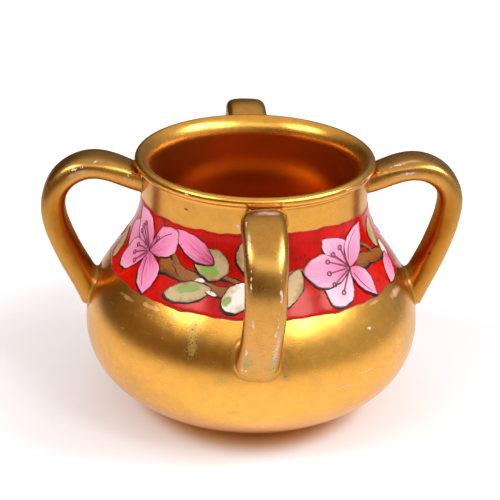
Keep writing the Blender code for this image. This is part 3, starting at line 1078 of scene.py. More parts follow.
def at_columns(points, place):
    """Points between a grid's columns, one place for each row, by straight shares."""
    left = np.clip(np.floor(place).astype(int), 0, points.shape[1] - 2)
    share = (place - left)[:, None]
    rows = np.arange(points.shape[0])
    return points[rows, left] * (1 - share) + points[rows, left + 1] * share


class Strap:
    """One handle's surface: a rounded rectangle carried along the middle line and trimmed to the wall.

    Rows go round the section from the outer face, and columns go from the neck to the belly.
    """

    sides = 80
    lengthwise = 130
    searched = 600
    corner_rows = 9
    drop_rows = 8
    buried = 1.0 * MM
    end_rounding = 0.8 * MM

    def __init__(self, cup, handle, wall, azimuth, habit):
        line = strap_line(cup, handle, wall, habit)
        self.travel = travelled(line)
        self.line = line
        tangent = np.gradient(line, self.travel, axis=0)
        self.outward = square_to(tangent)
        self.handle = handle
        self.azimuth = azimuth
        self.habit = habit
        self.turn = around(self.sides)
        search = np.linspace(0.0, self.travel[-1], self.searched)
        clear = wall.clearance(self.carried(np.broadcast_to(search, (self.sides, self.searched))))
        outer = smooth_step(-0.1, 0.75, np.cos(self.turn))
        step = handle.step * outer
        scale = self.travel[-1] / (self.searched - 1)
        start = scale * crossing(clear, np.full(self.sides, -self.buried), last=False)
        end = scale * crossing(clear, step, last=True)
        share = np.linspace(0.0, 1.0, self.lengthwise)
        reach = start[:, None] + (end - start)[:, None] * share
        strap = self.carried(reach)
        share = reach / self.travel[-1]
        tail = self.blunt_end(strap, wall, self.end_rounding * outer)
        self.points = np.concatenate([strap, tail], axis=1)
        self.share = np.concatenate([share, np.repeat(share[:, -1:], tail.shape[1], axis=1)], axis=1)
        self.clear = wall.clearance(self.points)

    def carried(self, travel):
        """Surface points: a rounded rectangle stood across the middle line at each travel.

        Round the turn it is (half size - edge) tanh(2.5 s) / tanh(2.5) + edge s, where s is the turn's
        cosine for the thickness and its sine for the width. The width flares at the joints, the
        section swells and thins by sines, and the strap's habits twist it and shift it aside.
        """
        handle, habit = self.handle, self.habit
        share = travel / self.travel[-1]
        flare = sum(bell((share - middle) / half) for middle, half in END_FLARES)
        width = handle.neck_width + (handle.belly_width - handle.neck_width) * share
        width = width * (1 + handle.end_flare * flare)
        thickness = handle.neck_thickness + (handle.belly_thickness - handle.neck_thickness) * share
        edge = handle.edge_round * thickness
        turn = self.turn[:, None]
        swell = 1 + handle.lumps * np.sin(3 * turn + 9 * share + self.azimuth) * np.sin(23 * share)
        out, across = (
            swell * ((size / 2 - edge) * np.tanh(SQUARENESS * wave) / math.tanh(SQUARENESS) + edge * wave)
            for size, wave in ((thickness, np.cos(turn)), (width, np.sin(turn)))
        )
        arch = np.sin(math.pi * np.clip(share, 0, 1))
        shift = habit.bow * arch**2
        shift = shift - habit.head * smooth_step(0.24, 0.04, share)
        shift = shift - habit.foot * smooth_step(0.55, 1.0, share)
        twist = math.radians(habit.twist) * arch
        out, across = (
            out * np.cos(twist) + across * np.sin(twist),
            across * np.cos(twist) - out * np.sin(twist) + MM * shift,
        )
        middle = [np.interp(travel, self.travel, self.line[:, i]) for i in (0, 1)]
        normal = [np.interp(travel, self.travel, self.outward[:, i]) for i in (0, 1)]
        radius = middle[0] + out * normal[0]
        height = middle[1] + out * normal[1]
        sine, cosine = math.sin(self.azimuth), math.cos(self.azimuth)
        return np.stack([radius * sine + across * cosine, -radius * cosine + across * sine, height], axis=-1)

    def blunt_end(self, strap, wall, rounding):
        """The strap's lower end: an arc that turns from the strap's run to the wall, then a drop into it."""
        last = strap[:, -1]
        ahead = unit(strap[:, -1] - strap[:, -2])
        inward = -wall.normal(azimuths(last), wall.run_at(last[:, 2]))
        along = np.sum(ahead * inward, axis=1, keepdims=True)
        aside = unit(inward - along * ahead)
        angle = np.arccos(np.clip(along, -1, 1))
        rows = np.linspace(0.0, 1.0, self.corner_rows)[1:]
        bend = angle * rows
        arc = rounding[:, None, None] * (
            np.sin(bend)[..., None] * ahead[:, None] + (1 - np.cos(bend))[..., None] * aside[:, None]
        )
        corner = last[:, None] + arc
        depth = wall.clearance(corner[:, -1]) + self.buried
        drop = np.linspace(0.0, 1.0, self.drop_rows)[1:]
        fall = corner[:, -1:] + (depth[:, None] * drop)[..., None] * inward[:, None]
        return np.concatenate([corner, fall], axis=1)

    def closed(self):
        """The surface with both buried ends drawn together to a point."""
        first, last = (
            np.broadcast_to(end.mean(axis=0, keepdims=True), end.shape)
            for end in (self.points[:, :1], self.points[:, -1:])
        )
        return np.concatenate([first, self.points, last], axis=1)


def make_strap(name):
    """The strap of a named side."""
    group = settings()
    return Strap(group.cup, group.handle, Wall(group.cup), HANDLE_AZIMUTHS[name], STRAP_HABITS[name])


Rub = namedtuple("Rub", "share turn long wide strength")

# Rubbed, tarnished and soiled places on the straps: share of the middle line, degrees round the section
# from the outer face, half lengths in the same terms, and strength
STRAP_WEAR = {
    "front": (
        Rub(0.45, -28, 0.26, 9, 0.4),
        Rub(0.52, 30, 0.26, 10, 0.4),
        Rub(0.24, -34, 0.05, 8, 0.5),
        Rub(0.33, -28, 0.04, 10, 0.5),
        Rub(0.35, 32, 0.06, 10, 0.5),
        Rub(0.45, -30, 0.06, 8, 0.5),
        Rub(0.47, 34, 0.05, 9, 0.5),
        Rub(0.57, -22, 0.05, 8, 0.48),
        Rub(0.6, 26, 0.05, 12, 0.47),
        Rub(0.7, 28, 0.06, 14, 0.46),
        Rub(0.72, -30, 0.05, 10, 0.46),
        Rub(0.83, -30, 0.025, 24, 0.5),
    ),
    "left": (
        Rub(0.29, 64, 0.05, 18, 0.5),
        Rub(0.22, 40, 0.03, 16, 0.44),
        Rub(0.1, 70, 0.02, 16, 0.46),
        Rub(0.55, 30, 0.08, 16, 0.36),
    ),
    "right": (
        Rub(0.17, -34, 0.06, 10, 0.46),
        Rub(0.2, -88, 0.06, 12, 0.5),
        Rub(0.3, -45, 0.05, 12, 0.42),
        Rub(0.5, -38, 0.06, 14, 0.48),
        Rub(0.62, -30, 0.06, 12, 0.4),
    ),
    "back": (Rub(0.2, 150, 0.04, 30, 0.36),),
}
STRAP_TARNISH = {
    "front": (
        Rub(0.78, -24, 0.05, 16, 1.0),
        Rub(0.78, 34, 0.07, 18, 1.1),
        Rub(0.3, -40, 0.07, 12, 0.55),
        Rub(0.62, 44, 0.09, 14, 0.6),
        Rub(0.47, 0, 0.05, 40, 0.36),
    ),
    "left": (Rub(0.33, 55, 0.08, 45, 0.4), Rub(0.44, 40, 0.1, 40, 0.5), Rub(0.6, 30, 0.12, 40, 0.4)),
    "right": (Rub(0.42, -45, 0.1, 36, 0.5), Rub(0.3, 0, 0.06, 40, 0.4)),
    "back": (Rub(0.25, 180, 0.12, 60, 0.3),),
}
STRAP_SOIL = {
    "front": (Rub(0.86, 62, 0.014, 14, 0.8), Rub(0.34, -2, 0.008, 6, 0.6), Rub(0.7, -30, 0.006, 5, 0.7)),
    "left": (Rub(0.2, 66, 0.01, 8, 0.55), Rub(0.09, 80, 0.014, 12, 0.6)),
    "right": (Rub(0.66, -118, 0.014, 14, 0.9), Rub(0.22, -96, 0.014, 10, 0.55)),
    "back": (Rub(0.1, 180, 0.02, 30, 0.3),),
}

# Places where a strap's gold is rubbed thin and pale, and on the front strap's head two that are a painted
# highlight
STRAP_HAZE_AND_HIGHLIGHT = {
    "front": (
        # Painted highlight: pale gold on the front strap's head under the lip
        Rub(0.13, 5, 0.07, 46, 0.95),
        Rub(0.2, 10, 0.022, 34, 0.86),
        Rub(0.31, -30, 0.05, 9, 0.8),
        Rub(0.7, 34, 0.16, 14, 0.75),
    ),
    "right": (Rub(0.2, -86, 0.1, 12, 0.75), Rub(0.2, -28, 0.1, 10, 0.7)),
    "back": (),
    "left": (Rub(0.29, 84, 0.06, 14, 0.74), Rub(0.2, 32, 0.08, 10, 0.6)),
}

# How brown each strap is on its inner side: partly unburnished gold where the burnisher reaches least, partly
# painted shade
BROWN_AND_SHADE_SHARES = {"front": 0.9, "right": 0.9, "back": 0.4, "left": 0.9}


def strap_places(share, turn, rubs):
    """The strongest of several soft places on a strap: strength times exp(-(x/long)^2 - (y/wide)^2)."""
    total = np.zeros(np.broadcast_shapes(share.shape, turn.shape))
    for rub in rubs:
        aside = short_way(turn - math.radians(rub.turn)) / math.radians(rub.wide)
        along = (share - rub.share) / rub.long
        total = np.maximum(total, rub.strength * bell(along) * bell(aside))
    return total


class CUP_OT_handles(bpy.types.Operator):
    """Carries the four strap handles along their middle line"""

    bl_idname = "cup.handles"
    bl_label = "Strap Handles"

    def execute(self, context):
        material = burnished_gold(
            "worn_gold_on_handles",
            settings().colours.dull_gold,
            base_roughness=0.28,
            film_weight=0.15,
            fleck_size=(0.7, 0.7, 1.5),
        )
        for name in HANDLE_AZIMUTHS:
            strap = make_strap(name)
            points = strap.closed()
            share = np.concatenate([strap.share[:, :1], strap.share, strap.share[:, -1:]], axis=1)
            turn = strap.turn[:, None]

            # Brown on the inner side, and on the legs of the side handles further round: partly unburnished
            # gold, partly painted shade
            under = np.broadcast_to(smooth_step(-0.2, -0.85, np.cos(turn)), share.shape)
            leg = smooth_step(0.7, -0.3, np.cos(turn)) * smooth_step(0.3, 0.48, share)
            marks = {
                "worn": 1.1 * strap_places(share, turn, STRAP_WEAR[name]),
                "haze_and_highlight": strap_places(share, turn, STRAP_HAZE_AND_HIGHLIGHT[name]),
                "tarnish": strap_places(share, turn, STRAP_TARNISH[name]),
                "soil_and_shade": strap_places(share, turn, STRAP_SOIL[name]),
                "brown": BROWN_AND_SHADE_SHARES[name] * np.maximum(under, leg if name in ("left", "right") else 0.0),
            }
            handle = make_piece(
                f"strap_handle_{name}", [Skin(points, True, False, marks)], material
            )
            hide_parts(f"handle_{name}")
        return {"FINISHED"}


# Slip

# Rows of a fillet's curve
SLIP_ROWS = 10

# How far a fillet's edge stands off the wall, and how deep its back lies under the edge and the joint
SLIP_EDGE = 0.015 * MM
EDGE_SUNK = 0.5 * MM
JOINT_SUNK = 0.6 * MM


def slip_ring(strap, wall, handle, at_belly):
    """The fillet round one end of a strap: a quadratic curve from the strap by the joint to the wall.

    The joint is where the strap meets the wall. The fillet leaves the strap a little way above the
    joint and reaches the wall a little way outside it, square to the joint's line on the wall. With
    it comes a mark for each row, which is 1 by the strap and falls to 0 at the wall; it places the
    painted shade along the fillet's edge by the strap.
    """
    inner = smooth_step(-0.2, -0.9, np.cos(strap.turn)) if at_belly else 0.0 * strap.turn
    height = handle.slip_height * (0.8 + 1.6 * inner)
    width = handle.slip_width * (1.0 + 0.9 * inner)
    if not at_belly:
        height = 0.45 * height
        width = 0.4 * width - 0.1 * MM * smooth_step(0.3, 0.9, np.cos(strap.turn))
    joint = at_columns(strap.points, crossing(strap.clear, 0.0 * strap.turn, last=at_belly))
    on_strap = at_columns(strap.points, crossing(strap.clear, height, last=at_belly))
    azimuth = strap.azimuth + short_way(azimuths(joint) - strap.azimuth)
    run = wall.run_at(joint[:, 2])
    radius = wall.radius_at(run)
    flat = np.stack([azimuth * radius, -run], axis=-1)
    away = square_to(along_loop(flat, 2))
    facing = np.sign(np.sum(away * (flat - flat.mean(axis=0)), axis=1, keepdims=True))
    spread = width[:, None] * away * facing
    wall_azimuth = azimuth + spread[:, 0] / radius
    wall_run = run - spread[:, 1]
    on_wall = wall.point(wall_azimuth, wall_run, SLIP_EDGE)
    t = np.linspace(0.0, 1.0, SLIP_ROWS)[:, None, None]
    curve = (1 - t) ** 2 * on_strap + 2 * t * (1 - t) * joint + t**2 * on_wall
    below_wall = wall.point(wall_azimuth, wall_run, -EDGE_SUNK)
    below_joint = wall.point(azimuth, run, -JOINT_SUNK)
    core = on_strap.mean(axis=0)
    in_strap = on_strap + 0.12 * (core - on_strap)
    rows = [curve, below_wall[None], below_joint[None], in_strap[None]]
    edge = np.concatenate([np.linspace(1.0, 0.0, SLIP_ROWS) ** 3, [0.0, 0.0, 0.0]])
    return np.concatenate(rows), edge


class CUP_OT_slip(bpy.types.Operator):
    """Rounds the slip in the joints between handles and body"""

    bl_idname = "cup.slip"
    bl_label = "Slip Fillets"

    def execute(self, context):
        group = settings()
        wall = Wall(group.cup)
        material = burnished_gold(
            "gold_over_slip",
            group.colours.dull_gold,
            base_roughness=0.36,
            film_weight=0.15,
            fleck_size=(0.9, 0.9, 0.9),
        )
        for name in HANDLE_AZIMUTHS:
            strap = make_strap(name)
            for end, at_belly in (("neck", False), ("belly", True)):
                points, edge = slip_ring(strap, wall, group.handle, at_belly)
                broken = 0.55 + 0.45 * np.sin(3 * strap.turn + 1.2)
                marks = {
                    "worn": 0.1,
                    "tarnish": 0.1,
                    # Painted shade: a broken dark line along the fillet's edge by the strap, stronger at the
                    # belly
                    "soil_and_shade": (0.35 if at_belly else 0.1) * edge[:, None] * broken[None, :],
                    "matt": 0.3 * smooth_step(0.3, -0.5, np.cos(strap.turn))[None, :],
                }
                slip = make_piece(
                    f"{end}_slip_fillet_{name}",
                    [Skin(points, True, True, marks)],
                    material,
                    fold=FOLD,
                )
                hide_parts(f"{end}_slip_{name}")
        return {"FINISHED"}


# Enamel band

# Places on the band, in degrees and millimetres, of painted light and painted shade: the red is brighter
# where the lamps fall near its lower edge and darker at the top front
BAND_PAINTED_LIGHT = (Spot(64.0, 46.5, 12.0, 5.0, 1.0), Spot(-62.0, 45.0, 10.0, 4.0, 0.5))
BAND_PAINTED_SHADE = (Spot(12.0, 56.0, 14.0, 8.0, 0.5), Spot(-12.0, 57.0, 12.0, 7.0, 0.6))

# Points of the band round the cup and down its face and back
BAND_COLUMNS = 360
FACE_ROWS = 64
BACK_ROWS = 8

# How deep the band's back lies in the wall
BAND_SUNK = 0.25 * MM


class CUP_OT_band(bpy.types.Operator):
    """Lays the red enamel band round the shoulder"""

    bl_idname = "cup.band"
    bl_label = "Enamel Band"

    def execute(self, context):
        group = settings()
        wall = Wall(group.cup)
        azimuth = around(BAND_COLUMNS)

        # Edges laid by hand, in millimetres: a fine tremor, a slow dip and a sag by the right handle
        tremor = 0.12 * np.sin(17 * azimuth + 0.4) + 0.1 * np.sin(29 * azimuth) + 0.07 * np.sin(53 * azimuth)
        dip = 0.55 * np.sin(azimuth + math.radians(75)) + 0.35 * np.sin(2 * azimuth)
        sag = 2.2 * bell((azimuth - math.radians(80)) / math.radians(35))
        top = wall.run_at(group.paint.band_top) + MM * (0.3 - dip + tremor + sag)
        low_dip = 0.45 * np.sin(azimuth + math.radians(10))
        tremor_low = np.roll(tremor, 90)
        bottom = wall.run_at(group.paint.band_bottom) + MM * (low_dip + tremor_low - 0.1)

        # The face is flat but for its rounded edges, and the back lies in the wall
        share = np.linspace(0.0, 1.0, FACE_ROWS)[:, None]
        lift = group.paint.band_thickness * (1 - np.abs(2 * share - 1) ** 30) - 0.02 * MM
        face = wall.point(azimuth, top + (bottom - top) * share, lift)
        back_share = np.linspace(1.0, 0.0, BACK_ROWS)[:, None]
        back = wall.point(azimuth, top + (bottom - top) * back_share, -BAND_SUNK)
        points = np.concatenate([face, back])
        # Painted light and painted shade on the band, carried in the thin mark
        thin, thick = (
            spotted(azimuth[None, :], points[..., 2], group.cup.belly_radius, spots)
            for spots in (BAND_PAINTED_LIGHT, BAND_PAINTED_SHADE)
        )
        band = make_piece(
            "red_enamel_band",
            [Skin(points, True, True, {"thin": thin - thick})],
            red_enamel(),
            fold=FOLD,
        )
        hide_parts("enamel_band")

        # A dark line along each edge, pressed unevenly and sunk where it is lifted
        turn = around(LINE_SIDES)
        edges = []
        for phase, edge in ((0.0, top), (2.0, bottom)):
            press = 0.5 + 0.5 * np.sin(6 * azimuth + phase) * np.sin(11 * azimuth + 2 * phase)
            half = (0.05 + 0.16 * press**2)[:, None] * MM
            lift = 0.02 * MM + 0.05 * MM * np.sin(turn) - 0.05 * MM * smooth_step(0.45, 0.2, press)[:, None]
            line = wall.point(azimuth[:, None], edge[:, None] + half * np.cos(turn), lift)
            edges.append(Skin(line, True, True, {}))
        ink = line_enamel("dark_edge_line_enamel", group.colours.mauve)
        make_piece("band_edge_lines", edges, ink)
        return {"FINISHED"}


# Painting

Petal = namedtuple("Petal", "turn length width lean blunt bow nib fold tone ink slant", defaults=(0.0,))
Blossom = namedtuple("Blossom", "azimuth run petals stamens")
Leaf = namedtuple("Leaf", "azimuth run shape repeats", defaults=(True,))
Twig = namedtuple("Twig", "start_width end_width points")

# Half of the band: two blossoms, buds, leaves and the twigs that join them, with two small dabs of
# white by a twig. The other half repeats it but for the leaves and the buds beside the handles.
# Azimuths and turns are in degrees, and runs from the band's top and lengths are in millimetres.
# A petal's lean moves its widest place, blunt rounds its ends, bow bends it, nib draws out its tip,
# fold says on which side a folded edge is drawn, tone makes it pale, ink strengthens its line and
# slant pushes out one corner of its tip.
SPRAY_TURNS = (0.0, math.pi)
BLOSSOMS = (
    Blossom(
        -57.8,
        10.7,
        (
            Petal(175.0, 16.0, 9.2, 1.2, 0.6, 0.02, 0.02, 0.0, 0.36, 0.8),
            Petal(137.0, 13.4, 8.8, 1.1, 0.7, -0.02, 0.04, 0.0, 0.42, 0.9),
            Petal(207.0, 13.4, 8.6, 1.4, 0.5, 0.0, 0.02, 0.0, 0.4, 1.1, 0.5),
            Petal(43.0, 11.8, 8.2, 1.3, 0.56, -0.05, 0.04, 0.8, 0.36, 0.9),
            Petal(296.0, 12.0, 7.8, 1.1, 0.68, 0.05, 0.04, -0.8, 0.34, 1.2),
        ),
        ((126.0, 7.8), (138.0, 7.8), (150.0, 7.2), (182.0, 5.8), (202.0, 6.6), (224.0, 6.2), (60.0, 4.8)),
    ),
    Blossom(
        44.6,
        12.7,
        (
            Petal(113.0, 10.4, 8.6, 1.5, 0.36, 0.0, -0.02, 0.0, 0.52, 1.0, 0.7),
            Petal(219.5, 12.8, 8.8, 1.35, 0.54, -0.02, 0.03, 0.0, 0.72, 1.2),
            Petal(173.0, 14.4, 9.2, 1.35, 0.54, 0.0, 0.03, 0.0, 0.48, 1.0),
            Petal(52.0, 12.6, 6.8, 1.05, 0.68, 0.03, 0.04, 0.9, 0.5, 0.8),
            Petal(300.0, 11.2, 5.8, 0.95, 0.7, 0.06, 0.05, -0.9, 0.48, 1.1),
        ),
        ((101.0, 6.4), (128.0, 6.6), (149.0, 7.5), (174.0, 7.3), (199.0, 7.6), (223.0, 7.7)),
    ),
)
BUDS = (
    Leaf(-20.8, 8.6, Petal(153.0, 14.2, 6.2, 0.95, 0.66, 0.0, 0.02, 0.0, 0.26, 1.0)),
    Leaf(78.4, 16.2, Petal(217.0, 10.8, 5.2, 0.95, 0.62, 0.02, 0.02, 0.0, 0.46, 0.7), False),
)
WHITE_BUDS = (
    Leaf(-14.4, 20.4, Petal(44.0, 11.0, 7.2, 0.95, 0.52, 0.0, 0.0, 0.0, 0.9, 1.6)),
    Leaf(79.5, 12.6, Petal(262.0, 5.4, 4.0, 1.0, 0.55, 0.0, 0.0, 0.0, 0.0, 0.3), False),
    Leaf(-28.4, 13.9, Petal(10.0, 3.0, 1.7, 1.0, 0.6, 0.0, 0.0, 0.0, 0.0, 0.5)),
    Leaf(-22.6, 15.9, Petal(-15.0, 3.4, 1.3, 1.0, 0.6, 0.0, 0.0, 0.0, 0.0, 0.5)),
)
LEAVES = (
    Leaf(-13.4, 9.6, Petal(171.0, 10.2, 8.6, 1.0, 0.5, 0.0, 0.0, 0.0, 0.9, 1.2)),
    Leaf(-40.2, 19.6, Petal(18.0, 13.4, 6.0, 1.0, 0.54, 0.02, 0.0, 0.0, 0.9, 1.6)),
    Leaf(-3.0, 11.4, Petal(106.0, 9.6, 5.0, 1.1, 0.5, 0.05, 0.0, 0.0, 0.0, 1.6)),
    Leaf(-84.0, 20.6, Petal(116.0, 9.6, 5.4, 1.0, 0.6, 0.0, 0.0, 0.0, 0.0, 0.2), False),
    Leaf(18.2, 9.8, Petal(240.0, 11.6, 4.7, 0.75, 0.7, 0.05, 0.02, 0.0, 0.0, 1.5)),
    Leaf(73.5, 13.2, Petal(93.0, 9.4, 5.0, 1.05, 0.58, 0.03, 0.02, 0.0, 0.8, 0.5), False),
)
TWIGS = (
    Twig(5.0, 2.6, ((-49.0, 12.0), (-36.0, 12.0), (-22.0, 16.0), (-9.0, 15.9))),
    Twig(1.2, 2.8, ((-44.0, 6.6), (-43.0, 9.0), (-40.5, 10.6), (-35.0, 12.6))),
    Twig(1.5, 1.2, ((-18.0, 11.4), (-13.0, 11.8), (-8.0, 13.4), (-2.0, 13.6))),
    Twig(2.0, 1.6, ((-12.0, 15.8), (-3.0, 15.2), (10.0, 9.2), (22.0, 10.6))),
    Twig(4.6, 2.6, ((50.0, 12.6), (60.0, 12.6), (68.0, 14.4), (83.0, 16.4))),
    Twig(1.0, 1.6, ((57.0, 8.4), (60.5, 9.2), (63.0, 10.0), (66.0, 12.6))),
)

# Where the green lies on a leaf and on a white bud, as shares of its length and half width
LEAF_GREEN = Oval(0.52, 0.38, 0.28, 0.44)
BUD_GREEN = Oval(0.22, 0.36, 0.16, 0.36)

# Points round a petal, along a twig, along a folded edge, along a stamen, round its anther and round a
# drawn line
PETAL_POINTS = 120
TWIG_POINTS = 60
FOLD_POINTS = 24
STAMEN_POINTS = 14
ANTHER_POINTS = 20
LINE_SIDES = 8

# Millimetres along a line that count as 1 in its mark
MARK_LENGTH = 6.0

# Rings of a dab of paint from its middle to its rim, and back again on its underside
DAB_RINGS = 9
BACK_RINGS = 4

# Width of a stamen's line, radius of its anther and half width of the anther's line
STAMEN_WIDTH = 0.42 * MM
ANTHER_RADIUS = 0.56 * MM
ANTHER_LINE = 0.16 * MM

# Heights off the band of the twigs, of the first dab over them, of each dab over the last, of a dab's
# middle over its rim and of a drawn line
TWIG_RELIEF = 0.05 * MM
DAB_BASE = 0.06 * MM
DAB_STEP = 0.06 * MM
DAB_CROWN = 0.03 * MM
LINE_RELIEF = 0.045 * MM


class Panel:
    """Flat drawing laid on the wall: x goes round and y goes up from a centre, both in true lengths."""

    def __init__(self, wall, band_run, turn):
        self.wall = wall
        self.band_run = band_run
        self.turn = turn

    def flat(self, centre, place):
        """Flat offset in metres of a place from a centre, both as degrees and millimetres of run."""
        radius = self.wall.radius_at(self.band_run + place[1] * MM)
        return np.array([math.radians(place[0] - centre[0]) * radius, (centre[1] - place[1]) * MM])

    def lay(self, centre, drawing, lift):
        """Points on the wall of a flat drawing about a centre, lifted off the wall."""
        run = self.band_run + centre[1] * MM - drawing[..., 1]
        azimuth = self.turn + math.radians(centre[0]) + drawing[..., 0] / self.wall.radius_at(run)
        return self.wall.point(azimuth, run, lift)


def turned(drawing, degrees):
    """A flat drawing turned anticlockwise."""
    angle = math.radians(degrees)
    turn = np.array([[math.cos(angle), math.sin(angle)], [-math.sin(angle), math.cos(angle)]])
    return drawing @ turn


def petal_outline(petal):
    """A petal along +x: half width = width/2 sin(pi along^lean)^blunt, with a waved edge.

    It is bowed aside by bow times length times sin(pi along), and its tip is drawn out by nib times
    length times exp(-(angle/0.3)^2). Slant times along moves each side out by its distance aside.
    """
    angle = around(PETAL_POINTS)
    along = (1 - np.cos(angle)) / 2
    half = petal.width / 2 * np.sin(math.pi * along**petal.lean) ** petal.blunt
    half = half * (1 + 0.035 * np.sin(5 * angle + petal.turn) + 0.025 * np.sin(11 * angle + petal.length))
    reach = petal.length * (along + petal.nib * bell((angle - math.pi) / 0.3))
    aside = np.sign(np.sin(angle)) * half
    reach = reach + petal.slant * along * aside
    aside = aside + petal.bow * petal.length * np.sin(math.pi * along)
    return MM * np.stack([reach, aside], axis=-1)


def dab(panel, centre, petal, low):
    """A dab of paint over a petal's outline: rings from its middle to its rim, crowned above.

    The lift falls as 1 - share^6 from the middle, and the rim and the back are sunk in the band.
    """
    outline = petal_outline(petal)
    middle = outline.mean(axis=0)
    share = np.concatenate([np.linspace(0.0, 1.0, DAB_RINGS), np.linspace(1.0, 0.0, BACK_RINGS)[1:]])
    rings = middle + (outline - middle) * share[:, None, None]
    lift = low + DAB_CROWN * (1 - share**6)
    lift[DAB_RINGS:] = 0.0
    marks = {
        "along": rings[..., 0] / (petal.length * MM),
        "across": rings[..., 1] / (petal.width * MM / 2),
        "tone": petal.tone,
    }
    return Skin(panel.lay(centre, turned(rings, petal.turn), lift[:, None]), False, True, marks)


def stroke(panel, centre, path, half_width, low, height, closed=False):
    """A drawn line: a low oval ridge along a flat path, drawn to a point at the ends of an open one."""
    side = square_to(along_loop(path) if closed else np.gradient(path, axis=0))
    angle = around(LINE_SIDES)
    half_width = np.broadcast_to(half_width, len(path))
    across = half_width[:, None] * np.cos(angle)
    drawing = path[:, None] + side[:, None] * across[..., None]
    swell = np.ones(len(path)) if closed else np.sign(half_width)
    lift = low + height * np.sin(angle) * swell[:, None]
    share = np.linspace(0.0, 1.0, len(path))[:, None]
    length = travelled(path)[-1] / MM
    marks = {"along": share * length / MARK_LENGTH, "across": np.cos(angle)[None, :], "tone": 0.5}
    return Skin(panel.lay(centre, drawing, lift), closed, True, marks)


def drawn_round(panel, centre, petal, width, low):
    """The line round a petal, drawn up to 0.09 mm off its edge by a sine of the angle round it.

    The brush presses harder where the edge faces down and left, and lifts where two sines say so.
    """
    outline = turned(petal_outline(petal), petal.turn)
    angle = around(len(outline))
    middle = outline.mean(axis=0)
    outward = square_to(along_loop(outline))
    outward = outward * np.sign(np.sum(outward * (outline - middle), axis=1, keepdims=True))
    press = np.clip(outward @ np.array([-0.5, -0.86]), 0.0, 1.0)
    lifted = 0.5 + 0.5 * np.sin(2 * angle + petal.turn) * np.sin(5 * angle + petal.width)
    tremor = 0.15 * np.sin(23 * angle + petal.turn)
    pressure = petal.ink * np.clip(0.05 + 1.4 * press**1.5 + 0.65 * lifted**2 + tremor, 0.05, 1.8)
    path = outline + outward * (0.09 * MM * np.sin(3 * angle + petal.length))[:, None]
    sunk = low + 0.01 * MM - 0.05 * MM * smooth_step(0.35, 0.15, pressure)[:, None]
    half = width / 2 * np.maximum(pressure, 0.05)
    return stroke(panel, centre, path, half, sunk, LINE_RELIEF, closed=True)


def tapered(count, width):
    """Half widths of an open line that is pointed at both ends."""
    half = width / 2 * np.linspace(1.0, 0.7, count)
    half[[0, -1]] = 0.0
    return half


def fold_line(panel, centre, petal, width, low):
    """The line of a folded edge, along the petal from 0.15 to 0.85 of its length.

    It is aside by the bow times the length plus the fold times width / 3.6, times sin(pi along).
    """
    share = np.linspace(0.15, 0.85, FOLD_POINTS)
    aside = petal.bow * petal.length + petal.fold * petal.width / 3.6
    path = MM * np.stack([share * petal.length, aside * np.sin(math.pi * share)], axis=-1)
    half = tapered(FOLD_POINTS, 0.8 * width)
    return stroke(panel, centre, turned(path, petal.turn), half, low + DAB_CROWN, LINE_RELIEF)


def stamen(panel, centre, turn, length, low):
    """A stamen: a thin line out from the heart, aside by 0.07 reach^2 / length, and a ring for its anther."""
    reach = np.linspace(0.1, 1.0, STAMEN_POINTS)[:, None] * length * MM
    path = turned(np.hstack([reach, 0.07 * reach**2 / (length * MM)]), turn)
    ring = path[-1] + ANTHER_RADIUS * circle(around(ANTHER_POINTS))
    thread = stroke(panel, centre, path, tapered(STAMEN_POINTS, STAMEN_WIDTH), low, LINE_RELIEF)
    return [thread, stroke(panel, centre, ring, ANTHER_LINE, low, LINE_RELIEF, closed=True)]


def make_panels():
    """The two halves of the band."""
    group = settings()
    wall = Wall(group.cup)
    return [Panel(wall, wall.run_at(group.paint.band_top), turn) for turn in SPRAY_TURNS]


class CUP_OT_blossoms(bpy.types.Operator):
    """Paints the blossoms: petals, their lines and their stamens"""

    bl_idname = "cup.blossoms"
    bl_label = "Painted Blossoms"

    def execute(self, context):
        paint = settings().paint
        colours = settings().colours
        petals, lines, stamens = [], [], []
        for panel in make_panels():
            for blossom in BLOSSOMS:
                centre = (blossom.azimuth, blossom.run)
                low = paint.band_thickness + DAB_BASE
                for petal in blossom.petals:
                    petals.append(dab(panel, centre, petal, low))
                    lines.append(drawn_round(panel, centre, petal, paint.line_width, low))
                    if petal.fold:
                        lines.append(fold_line(panel, centre, petal, paint.line_width, low))
                    low += DAB_STEP
                for turn, length in blossom.stamens:
                    stamens.extend(stamen(panel, centre, turn, length, low))
        make_piece("blossom_petals", petals, petal_enamel("pink_enamel"))
        make_piece("petal_lines", lines, line_enamel("dark_line_enamel", colours.line))
        make_piece("stamens", stamens, line_enamel("mauve_stamen_enamel", colours.mauve))
        return {"FINISHED"}


class CUP_OT_leaves(bpy.types.Operator):
    """Paints the buds, leaves and sepals with their lines"""

    bl_idname = "cup.leaves"
    bl_label = "Painted Leaves and Buds"

    def execute(self, context):
        paint = settings().paint
        colours = settings().colours
        cream = leaf_enamel("cream_leaf_enamel", colours.cream, colours.tan, LEAF_GREEN, base_shade=0.0)
        white = leaf_enamel("white_bud_enamel", colours.milk, colours.cream, BUD_GREEN, base_shade=0.8)
        pink = petal_enamel("bud_enamel")
        kinds = (("leaves", LEAVES, cream), ("white_buds", WHITE_BUDS, white), ("pink_buds", BUDS, pink))
        lines = []
        for name, rows, material in kinds:
            dabs = []
            for panel in make_panels():
                for number, leaf in enumerate(rows):
                    if panel.turn and not leaf.repeats:
                        continue
                    centre = (leaf.azimuth, leaf.run)
                    low = paint.band_thickness + DAB_BASE + number % 2 * DAB_STEP
                    if name == "pink_buds":
                        low += 2 * DAB_STEP
                    dabs.append(dab(panel, centre, leaf.shape, low))
                    lines.append(drawn_round(panel, centre, leaf.shape, paint.line_width, low))
            make_piece(name, dabs, material)
        make_piece("leaf_lines", lines, line_enamel("dark_leaf_line_enamel", colours.line))
        return {"FINISHED"}


